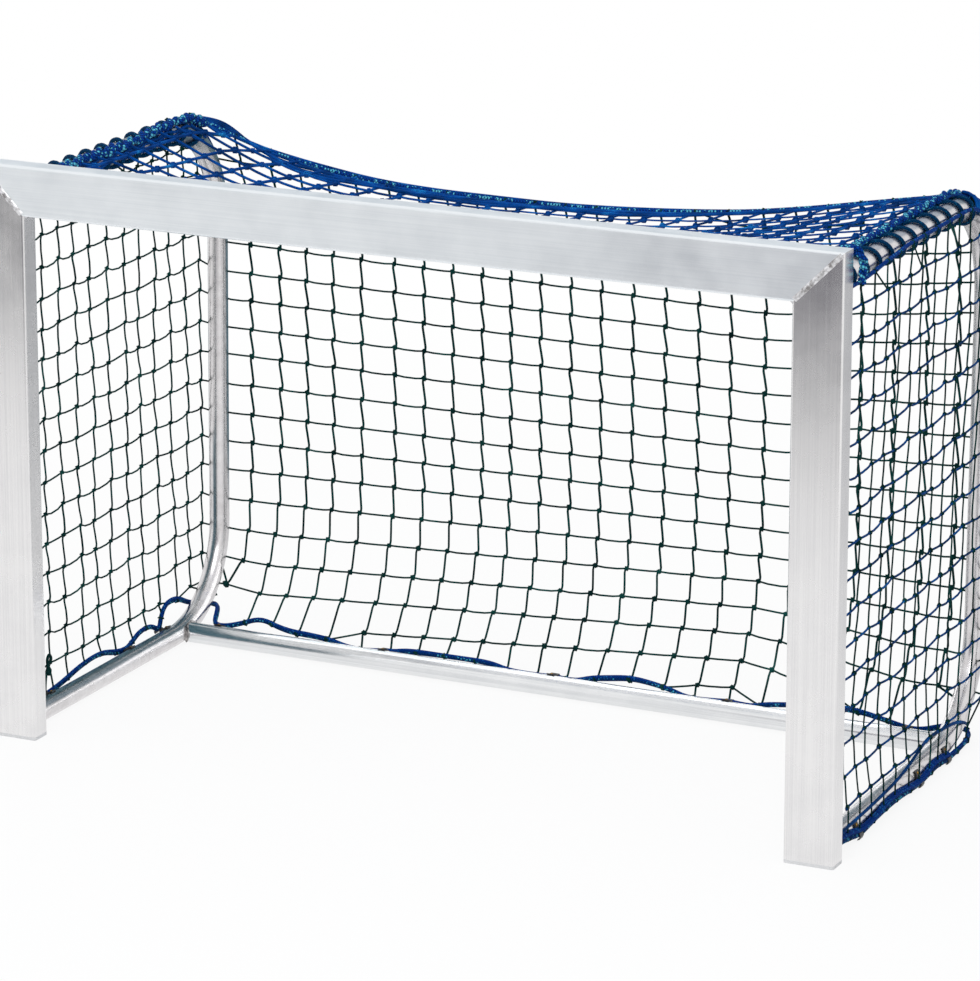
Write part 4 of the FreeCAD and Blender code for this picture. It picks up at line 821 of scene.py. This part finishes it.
@dataclass
class Net:
    """The knotted net: one bag of square meshes, tied in four panels.

    The twines are the radii of a panel's upright and level strands. Columns are depths on the sides and x on
    the back, and left_rows and right_rows are heights on the back at the two places of rows_at.
    """

    ropes: Ropes
    back_twines: Pair = (1.85, 1.5)
    left_twines: Pair = (1.55, 1.4)
    right_twines: Pair = (1.3, 1.65)
    top_twines: Pair = (1.7, 1.45)
    side_reach: float = 664.2
    side_pitch: float = 47.7
    fifth_row: float = 640
    clearance: float = 13
    drawn_back: float = 42
    back_corners: tuple[Point, Point] = ((-628, 648, 62), (640, 634, 40))
    side_corners: tuple[Point, Point] = ((-638, 627, 50), (649, 606, 17))
    rows_at: Pair = (-589, 285)
    low_selvedge: tuple[Point, ...] = (
        (665, 50, 36), (666, 71, 37), (667, 187, 41), (666, 286, 46), (663, 366, 60), (662, 402, 67), (663, 450, 64),
        (664, 512, 58), (660, 560, 44), (652, 600, 26))
    low_tangle: tuple[Point, ...] = (
        (-664, 138, 28), (-665, 141, 48), (-666, 152, 63), (-667, 165, 72), (-666, 156, 82), (-663, 144, 77),
        (-664, 148, 62), (-666, 160, 56), (-664, 152, 48), (-662, 143, 58), (-663, 147, 73))
    seed: int = 7
    back_columns: tuple[float, ...] = (
        -644, -592, -540, -493, -446, -396, -338, -287, -237, -186, -137, -86, -35, 16, 69, 123, 178, 231, 287,
        339, 390, 442, 494, 546, 597, 644)
    left_columns: tuple[float, ...] = (59, 107, 155, 203, 253, 299, 349, 402, 446, 495, 544, 593, 639)
    right_columns: tuple[float, ...] = (50, 97, 145, 191, 237, 287, 333, 383, 431, 476, 524, 572, 625)
    left_rows: tuple[float, ...] = (803, 757, 711, 665, 618, 571, 527, 480, 436, 388, 340, 294, 248, 200, 153, 108, 69,
                                    30, -6)
    right_rows: tuple[float, ...] = (781, 735, 690, 645, 601, 560, 517, 475, 431, 388, 344, 303, 263, 222, 183, 145,
                                     109, 74, 42)
    profile: tuple[Pair, ...] = (
        (30, 552), (64, 592), (100, 624), (142, 648), (184, 664), (240, 673), (300, 677), (430, 678), (900, 678))
    rng: random.Random = field(init=False)

    def __post_init__(self) -> None:
        """Starts the fixed run of chance values."""
        self.rng = random.Random(self.seed)

    def back_row(self, k: int, x: float) -> float:
        """Height of row k of the back net at x: the rows were measured at two spots, and meet the right side's."""
        left, right = self.left_rows[k], self.right_rows[k]
        start, stop = self.rows_at
        edge, bend = self.back_columns[-1], 300
        level = left + (right - left) * (x - start) / (stop - start)
        corner = left + (right - left) * (edge - start) / (stop - start)
        return level + (self.side_row(k) - corner) * max(0.0, min(1.0, (x - bend) / (edge - bend)))

    def side_row(self, k: int) -> float:
        """Height of row k of a side net."""
        return self.fifth_row - self.side_pitch * (k - 4)

    def back_point(self, x: float, z: float) -> Point:
        """Point of the back net's surface at a height."""
        depth = between(z, self.profile)
        rope_y, rope_z = self.ropes.back_at(x)
        if z > 600:
            depth += (rope_y + 2 - depth) * smooth(z, 600, max(rope_z, 640))
        hoop = HOOP.back_of(z, 3.2)
        near = smooth(abs(x), 560, 634)
        return (x, depth + (max(depth, hoop) - depth) * near, z)

    def foot(self, column: tuple[str, float]) -> Point:
        """Point on the ground rope where a column is tied: the corners' columns are gathered."""
        side, spot = column
        line = self.ropes.border_line
        if side == "back":
            if abs(spot) > 585:
                return self.back_corners[spot > 0]
            return min((p for p in line if p[1] > 530 and abs(p[0]) < 612), key=lambda p: abs(p[0] - spot))
        sign = -1 if side == "left" else 1
        if spot > 590:
            return self.side_corners[side == "right"]
        lead = self.lead(side, spot)
        return min((p for p in line if p[0] * sign > 652), key=lambda p: abs(p[1] - spot - lead))

    def lead(self, side: str, spot: float) -> float:
        """How far back a side column's foot is drawn along the ground rope."""
        return self.drawn_back * (1 - smooth(spot, 330, 540)) if side == "right" else 0.0

    def head(self, column: tuple[str, float]) -> Point:
        """Point on the rope above a column."""
        side, spot = column
        if side == "back":
            y, z = self.ropes.back_at(spot)
            return (spot, y, z)
        sign = -1 if side == "left" else 1
        s = min(spot - HOOP.front, HOOP.straight + HOOP.bend * 0.62)
        point = HOOP.beside_top(sign, s, *self.ropes.edge_spot(sign, s, False))
        if spot > point[1] + 1:
            return (sign * 664.0, spot, HOOP.top - HOOP.bend + math.sqrt(max(
                1.0, (HOOP.bend + HOOP.tube) ** 2 - (spot - HOOP.top_depth + HOOP.bend) ** 2)))
        return (point[0], spot, point[2])

    def at(self, column: tuple[str, float], z: float) -> Point:
        """Point of the net on a column at a height."""
        side, spot = column
        if side == "back":
            return self.back_point(spot, z)
        sign = -1 if side == "left" else 1
        top = self.head(column)[2]
        sway = 3.5 * math.sin(spot * 0.021 + sign + z * 0.004) * math.sin(z * 0.011)
        sag = 5.0 * math.sin(spot * 0.047 + z * 0.019 + 2 * sign) * smooth(top - z, 10, 90) * smooth(z, 20, 120)
        drawn = self.lead(side, spot) * smooth(165 - z, 0, 165)
        return (sign * (self.side_reach + 0.6 * sway), spot + 0.5 * sag + drawn, z + 0.45 * sag)

    def row_at(self, column: tuple[str, float], k: int) -> float:
        """Height of row k on a column."""
        side, spot = column
        return self.back_row(k, spot) if side == "back" else self.side_row(k)

    def strand(self, a: Point, b: Point, offset: Vector, upright: bool, slack: float = 1.0) -> list[Point]:
        """Twine from knot to knot.

        Args:
            a: The first knot.
            b: The second knot.
            offset: Direction along the net to which an upright strand leaves its knot.
            upright: Whether it is an upright strand, which leaves at one side and arrives at the other.
            slack: How slack it is.

        Returns:
            Its points.
        """
        p, q = Vector(a), Vector(b)
        sag = self.rng.uniform(0.2, 1.6) * slack
        swing = self.rng.uniform(0.7, 1.3)
        bow = self.rng.uniform(-1.1, 1.1) * slack if slack > 1 else 0.2
        if upright:
            start, lean = 1.7 * swing, (2.1 + 0.5 * (slack - 1)) * swing
            shifts = ((0.0, -start), (0.16, 0.5 * bow - lean), (0.5, bow), (0.84, 0.5 * bow + lean), (1.0, start))
            return [tuple(p.lerp(q, t) + offset * shift) for t, shift in shifts]
        out = []
        for t in (0.0, 0.3, 0.7, 1.0):
            point = p.lerp(q, t)
            point.z -= sag * math.sin(math.pi * t)
            out.append(tuple(point))
        return out

    def knot_shape(self) -> Mesh:
        """A sheet-bend knot: a lump of twine with a turn round it, 56 triangles."""
        knot = bmesh.new()
        lump, turn, twine = (0.0034, 0.0028, 0.0040), 0.0031, 0.0013
        core = bmesh.ops.create_icosphere(knot, subdivisions=1, radius=1.0)["verts"]
        bmesh.ops.scale(knot, vec=lump, verts=core)
        ring = bmesh.ops.create_circle(knot, segments=3, radius=twine)["verts"]
        bmesh.ops.rotate(knot, verts=ring, cent=(0, 0, 0), matrix=Matrix.Rotation(math.pi / 2, 3, "X"))
        bmesh.ops.translate(knot, verts=ring, vec=(turn, 0, 0))
        edges = list({e for v in ring for e in v.link_edges})
        bmesh.ops.spin(knot, geom=list(ring) + edges, cent=(0, 0, 0), axis=(0, 0, 1), angle=math.tau, steps=6,
                       use_merge=True)
        wrap = [v for v in knot.verts if v not in set(core)]
        bmesh.ops.rotate(knot, verts=wrap, cent=(0, 0, 0), matrix=Matrix.Rotation(0.7, 3, "Y"))
        bmesh.ops.recalc_face_normals(knot, faces=knot.faces)
        return finished("knot", knot)

    def knots(self, spots: Sequence[tuple[Point, Vector, float]]) -> list[Mesh]:
        """Knots at points of the net, each facing along a direction and of a size."""
        return copies(self.knot_shape(), (
            Matrix.Translation(place(*spot)) @ facing.to_track_quat("Y", "Z").to_matrix().to_4x4()
            @ Matrix.Rotation(self.rng.uniform(-0.5, 0.5), 4, "Y")
            @ Matrix.Scale(size * self.rng.uniform(0.9, 1.15), 4) for spot, facing, size in spots))

    def tied(self, node: str, groups: Sequence[tuple[Sequence[Mesh], Finish]]) -> None:
        """Joins a panel's meshes, each group with its own twine.

        Args:
            node: The solid that the panel stands for.
            groups: Meshes and their finish.
        """
        for number, (meshes, _) in enumerate(groups):
            for mesh in meshes:
                mesh.polygons.foreach_set("material_index", [number] * len(mesh.polygons))
        mesh = smoothed(joined(node + "_knotted", [m for meshes, _ in groups for m in meshes]))
        add_piece(node + "_knotted", mesh, groups[0][1], [node])
        for _, finish in groups[1:]:
            mesh.materials.append(finish.material())

    def panel(self, node: str, columns: Sequence[tuple[str, float]], own: Callable[[int], bool], slack: float,
              size: float, thickness: Pair, level_finish: Finish) -> None:
        """Ties a panel of the bag.

        Args:
            node: The solid that the panel stands for.
            columns: The bag's columns that the panel's rows cross.
            own: Says whether column number i is this panel's, and not its neighbour's.
            slack: How slack its strands are.
            size: The knots' size.
            thickness: Radius of the upright and of the level twine.
            level_finish: The finish of the level twine.
        """
        uprights, levels, spots = [], [], []
        grid: list[dict[int, Point]] = []
        feet, heads = [self.foot(c) for c in columns], [self.head(c) for c in columns]
        for column, foot, head in zip(columns, feet, heads):
            heights = {k: self.row_at(column, k) for k in range(len(self.left_rows))}
            low, high = foot[2] + self.clearance, head[2] - self.clearance
            grid.append({k: self.at(column, z) for k, z in heights.items() if low < z < high})
        for i, column in enumerate(columns):
            knots = grid[i]
            if column[0] == "back":
                offset, facing = Vector((1, 0, 0)), Vector((0, 1, 0))
            else:
                offset = Vector((0, -1 if column[0] == "right" else 1, 0))
                facing = Vector((-1 if column[0] == "left" else 1, 0, 0))
            if own(i) and knots:
                order = sorted(knots)
                ends = [heads[i]] + [knots[k] for k in order] + [feet[i]]
                for a, b in zip(ends, ends[1:]):
                    uprights.append(self.strand(a, b, offset, True, slack))
                spots += [(knots[k], facing, size) for k in order]
                spots += [(feet[i], facing, 1.35 * size), (heads[i], facing, 1.1 * size)]
                behind = i - 1 if column[0] == "right" else i + 1
                if column[0] != "back" and i % 3 == 1 and len(order) > 2 and behind < len(grid) and grid[behind]:
                    uprights.append(self.strand(heads[i], grid[behind][min(grid[behind])], offset, True))
            if i + 1 < len(columns):
                other = grid[i + 1]
                for k in sorted(set(knots) | set(other)):
                    if k in knots and k in other:
                        levels.append(self.strand(knots[k], other[k], offset, False, 1.5 * slack))
                    else:
                        has, lacks = (i, i + 1) if k in knots else (i + 1, i)
                        low = grid[has][k][2] < (feet[lacks][2] + heads[lacks][2]) / 2
                        levels.append(self.strand(grid[has][k], (feet if low else heads)[lacks], offset, False))
        dark = [tube_mesh("uprights", uprights, thickness[0])] + self.knots(spots)
        light = [tube_mesh("levels", levels, thickness[1])]
        if node == "right_side_net":
            light.append(tube_mesh("selvedge", [evenly(drawn_line(self.low_selvedge), 9)], 2.5))
        if node == "left_side_net":
            dark.append(tube_mesh("tangle", [evenly(drawn_line(self.low_tangle), 4)], 2.5))
        self.tied(node, [(dark, NET_TWINE), (light, level_finish)])

    def top_panel(self) -> None:
        """The panel between the crossbar, the top tubes and the rope over the back."""
        reach, front, level = 617.0, 45.0, 842.0
        columns = [-reach] + [x for x in self.back_columns if abs(x) < 605] + [reach]
        start, pitch, last = 47, 48.8, 592
        rows = [start + pitch * j for j in range(1, 11)] + [last]

        def surface(x: float, y: float) -> Point:
            """Point of the hanging panel over a place on the ground."""
            rope_y, rope_z = self.ropes.back_at(x)
            t = (y - front) / (rope_y - front)
            flat = level + (rope_z - level) * (1 - max(0.0, 1 - t) ** 1.9)
            edge = level
            if y > HOOP.front + HOOP.straight:
                knee = HOOP.front + HOOP.straight
                edge = level + (rope_z - level) * (y - knee) / (rope_y - knee)
            return (x, y, flat + (edge - flat) * abs(x / reach) ** 6)

        lines, cross, spots = [], [], []
        for i, x in enumerate(columns):
            depth = self.ropes.back_at(x)[0]
            spine = [surface(x, front)] + [surface(x, y) for y in rows if y < depth - 12] + [surface(x, depth)]
            if 0 < i < len(columns) - 1:
                lines += [self.strand(a, b, Vector((1, 0, 0)), True) for a, b in zip(spine, spine[1:])]
                spots += [(p, Vector((0, 0.1, 1)), 1.3) for p in spine[1:-1]]
            if i + 1 < len(columns):
                other = columns[i + 1]
                for y in rows:
                    if y < min(depth, self.ropes.back_at(other)[0]) - 6:
                        cross.append(self.strand(surface(x, y), surface(other, y), Vector((0, 1, 0)), False))
        full = ((-450, 1.45), (-100, 1.0))
        meshes = []
        for word, runs, thickness in (("uprights", lines, self.top_twines[0]), ("levels", cross, self.top_twines[1])):
            radii = [between(max(-450, min(-100, run[0][0])), full) for run in runs]
            meshes.append(tube_mesh(word, runs, thickness, radii=radii))
        self.tied("top_net", [(meshes + self.knots(spots) + self.gathers(), TOP_TWINE)])

    def gathers(self) -> list[Mesh]:
        """The net's edge, gathered along the rope over the back and along the inside of both top tubes."""
        # Each cord's distances along, ahead and above, and how far it strays.
        runs = [evenly(drawn_line(self.ropes.back_path(*offsets)), 8) for offsets in (
            (-9, 9, -1, 2.0), (-17, 20, 0, 3.0), (8, -2, 3, 1.2), (-25, 31, 1, 4.0), (-33, 42, 3, 4.0))]
        # Each cord's distance from the tube's axis, its angle round it, and the height and pace of its sway.
        left = ((21.5, 172, 7, 0.11), (19.5, 190, 9, 0.083), (22.5, 158, 6, 0.097))
        for side, cords, shift in ((-1, left, 0), (1, (left[0], left[2]), -26)):
            for reach, angle, sway, beat in cords:
                runs.append([HOOP.beside_top(side, s, reach, angle + shift + sway * math.sin(beat * s + angle))
                             for s in range(12, 560, 12)])
            runs.append([HOOP.beside_top(side, s, 21.5, between(s, ((440, 118), (520, 96), (680, 88))))
                         for s in range(440, 680, 12)])
        return [tube_mesh("gathers", runs, 2.3, 6)]

    def tie(self) -> None:
        """Ties the four panels."""
        left = [("left", y) for y in self.left_columns]
        back = [("back", x) for x in self.back_columns]
        right = [("right", y) for y in self.right_columns[::-1]]
        self.panel("left_side_net", [("left", 46.0)] + left, lambda i: i > 0, 2.3, 0.95, self.left_twines, NET_TWINE)
        self.panel("back_net", left[-1:] + back + right[:1], lambda i: 0 < i <= len(back), 1.0, 1.15,
                   self.back_twines, NET_TWINE)
        self.panel("right_side_net", right + [("right", 44.0)], lambda i: i < len(right), 1.7, 0.95,
                   self.right_twines, BLUE_TWINE)
        self.top_panel()


@dataclass
class Studio:
    """Plain white floor, soft lights and the camera."""

    eye: Point = (2969.6909, -5919.6569, 2351.7267)
    yaw: float = 0.444542477
    pitch: float = -0.247659830
    roll: float = -0.000706869
    focal_px: float = 4863.824
    picture: tuple[int, int] = (980, 981)
    centre_row: float = 343.0
    sensor: float = 36.0

    def floor(self) -> None:
        """A round white floor that keeps the goal's shadow and fades into the white behind."""
        shape = bmesh.new()
        bmesh.ops.create_circle(shape, cap_ends=True, segments=96, radius=4.0)
        piece = new_object("floor", finished("floor", shape))
        paint = bpy.data.materials.new("white_studio_floor")
        tree = empty_tree(paint)
        where = add_node(tree, "TexCoord").outputs["Object"]
        far = add_node(tree, "VectorMath", {"operation": "LENGTH", 0: where}).outputs["Value"]
        fade = add_node(tree, "MapRange", {"interpolation_type": "SMOOTHSTEP", "Value": far, "From Min": 1.0,
                                           "From Max": 3.0, "To Min": 0.88, "To Max": 1.0})
        share = add_node(tree, "Math", {"operation": "MULTIPLY", 0: seen_share(tree), 1: fade})
        lit = add_node(tree, "BsdfDiffuse", {"Color": (0.8, 0.8, 0.8, 1)})
        glow = add_node(tree, "Emission", {"Color": (1, 1, 1, 1), "Strength": 1.0})
        mix = add_node(tree, "MixShader", {0: share, 1: lit, 2: glow})
        add_node(tree, "OutputMaterial", {"Surface": mix})
        piece.data.materials.append(paint)

    def flag(self, name: str, middle: Point, turns: Pair, size: Pair, shade: Point, soft: Point) -> None:
        """A flag for the metal to mirror, unseen and casting nothing.

        Args:
            name: The flag's name.
            middle: Its middle in metres.
            turns: Its turns from lying flat, about the X and Z axes, in degrees.
            size: Its width and height in metres.
            shade: Its colour in linear light.
            soft: Widths of its far or upper, its near or lower, and its side edges' fades.
        """
        shape = bmesh.new()
        bmesh.ops.create_grid(shape, x_segments=1, y_segments=1, size=0.5)
        bmesh.ops.scale(shape, vec=(size[0], size[1], 1), verts=shape.verts)
        piece = new_object(name, finished(name, shape))
        piece.location = middle
        piece.rotation_euler = (math.radians(turns[0]), 0, math.radians(turns[1]))
        piece.visible_camera = piece.visible_diffuse = piece.visible_shadow = piece.visible_transmission = False
        cloth = bpy.data.materials.new(name + "_cloth")
        tree = empty_tree(cloth)
        cut = add_node(tree, "SeparateXYZ", {0: add_node(tree, "TexCoord").outputs["Object"]}).outputs
        wide, high = size[0] / 2, size[1] / 2
        share = 1.0
        for axis, start, stop in (("Y", high, high - soft[0]), ("Y", -high, soft[1] - high),
                                  ("X", wide, wide - soft[2]), ("X", -wide, soft[2] - wide)):
            fade = add_node(tree, "MapRange", {"interpolation_type": "SMOOTHSTEP", "Value": cut[axis],
                                               "From Min": start, "From Max": stop, "To Min": 0.0, "To Max": 1.0})
            share = add_node(tree, "Math", {"operation": "MULTIPLY", 0: share, 1: fade})
        clear = add_node(tree, "BsdfTransparent")
        dark = add_node(tree, "Emission", {"Color": (*shade, 1), "Strength": 1.0})
        mix = add_node(tree, "MixShader", {0: share, 1: clear, 2: dark})
        add_node(tree, "OutputMaterial", {"Surface": mix})
        piece.data.materials.append(cloth)

    def sky(self) -> None:
        """White behind the goal and in the metal, a pale room for the light."""
        world = bpy.data.worlds.new("studio")
        bpy.context.scene.world = world
        tree = empty_tree(world)
        room = add_node(tree, "Background", {"Color": (0.96, 0.98, 1.0, 1), "Strength": 0.66})
        white = add_node(tree, "Background", {"Color": (1, 1, 1, 1), "Strength": 1.0})
        mix = add_node(tree, "MixShader", {0: seen_share(tree), 1: room, 2: white})
        add_node(tree, "OutputWorld", {"Surface": mix})

    def lamp(self, name: str, spot: Point, aim: Point, size: Pair, power: float, mirrored: bool,
             lighting: bool = True) -> None:
        """Adds a soft light or a bright card.

        Args:
            name: Its name.
            spot: Where it is, in metres.
            aim: The point that it is aimed at.
            size: Its width and height in metres.
            power: Its power in watts.
            mirrored: Whether the metal mirrors it.
            lighting: Whether it lights more than the mirroring metal.
        """
        data = bpy.data.lights.new(name, "AREA")
        data.shape = "RECTANGLE"
        data.size, data.size_y = size
        data.energy = power
        lamp = new_object(name, data)
        lamp.location = spot
        lamp.visible_glossy = mirrored
        lamp.visible_diffuse = lighting
        lamp.rotation_euler = (Vector(aim) - Vector(spot)).to_track_quat("-Z", "Y").to_euler()

    def camera(self) -> None:
        """The camera that took the picture: far off, to the right and above."""
        data = bpy.data.cameras.new("camera")
        data.sensor_fit = "HORIZONTAL"
        data.sensor_width = self.sensor
        data.lens = self.focal_px * self.sensor / self.picture[0]
        data.shift_y = (self.centre_row - self.picture[1] / 2) / self.picture[0]
        data.clip_end = 100.0
        camera = new_object("camera", data)
        camera.location = place(*self.eye)
        ahead = Vector((-math.sin(self.yaw) * math.cos(self.pitch), math.cos(self.yaw) * math.cos(self.pitch),
                        math.sin(self.pitch)))
        across = Vector((math.cos(self.yaw), math.sin(self.yaw), 0))
        down = ahead.cross(across)
        right = across * math.cos(self.roll) + down * math.sin(self.roll)
        up = across * math.sin(self.roll) - down * math.cos(self.roll)
        camera.rotation_euler = Matrix((right, up, -ahead)).transposed().to_euler()
        bpy.context.scene.camera = camera

    def build(self) -> None:
        """Builds the studio."""
        self.camera()
        self.floor()
        self.sky()
        self.flag("front_floor_flag", (-1.0, -4.1, 0.012), (0, 0), (7.0, 4.4), (0.22, 0.22, 0.23), (1.5, 0.1, 0.1))
        # Painted shadow: a grey sheet over the floor inside and behind the goal, darker further back, stands in for the
        # goal's shadow and the dimmer floor behind it, and is seen only in the metal.
        self.flag("rear_floor_painted_shadow", (0.4, 1.8, 0.011), (0, 0), (7.0, 5.0), (0.52, 0.53, 0.55), (0.1, 3.4, 0.3))
        self.flag("rear_flag", (-0.75, 2.3, 1.2), (90, 0), (3.9, 1.1), (0.10, 0.17, 0.21), (0.35, 0.3, 0.45))
        self.flag("rear_sky_flag", (-0.9, 2.4, 1.80), (90, 0), (4.6, 0.9), (0.38, 0.46, 0.56), (0.2, 0.2, 0.4))
        self.flag("left_flag", (-0.70, -0.05, 0.16), (90, 90), (0.62, 0.30), (0.09, 0.17, 0.21), (0.05, 0.02, 0.03))
        self.flag("left_rear_flag", (-0.665, 0.50, 0.53), (90, 0), (0.63, 0.84), (0.09, 0.17, 0.21), (0.2, 0.15, 0.12))
        self.flag("right_bar_flag", (0.1, -2.5, 0.77), (90, 0), (1.9, 1.1), (0.06, 0.05, 0.09), (0.4, 0.15, 0.5))
        self.lamp("overhead_softbox", (-0.5, 0.3, 3.6), (-0.5, 0.3, 0.0), (4.6, 4.6), 80.0, False)
        self.lamp("front_softbox", (1.2, -3.6, 2.6), (0, 0, 0.5), (2.2, 2.2), 55.0, True)
        self.lamp("rear_tube_card", (-0.02, 0.388, 0.12), (-0.02, 0.388, 0.0), (1.06, 0.386), 1.4, True, False)
        bpy.context.scene.view_settings.view_transform = "Standard"


def main() -> None:
    """Builds the studio, dresses the frame, ties the ropes and the net."""
    logging.basicConfig(level=logging.INFO, format="%(name)s %(message)s")
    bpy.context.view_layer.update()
    Studio().build()
    body = Frame()
    body.dress(frame["nodes"])
    body.rivets()
    ropes = Ropes()
    ropes.tie()
    Net(ropes).tie()


if __name__ == "__main__":
    main()
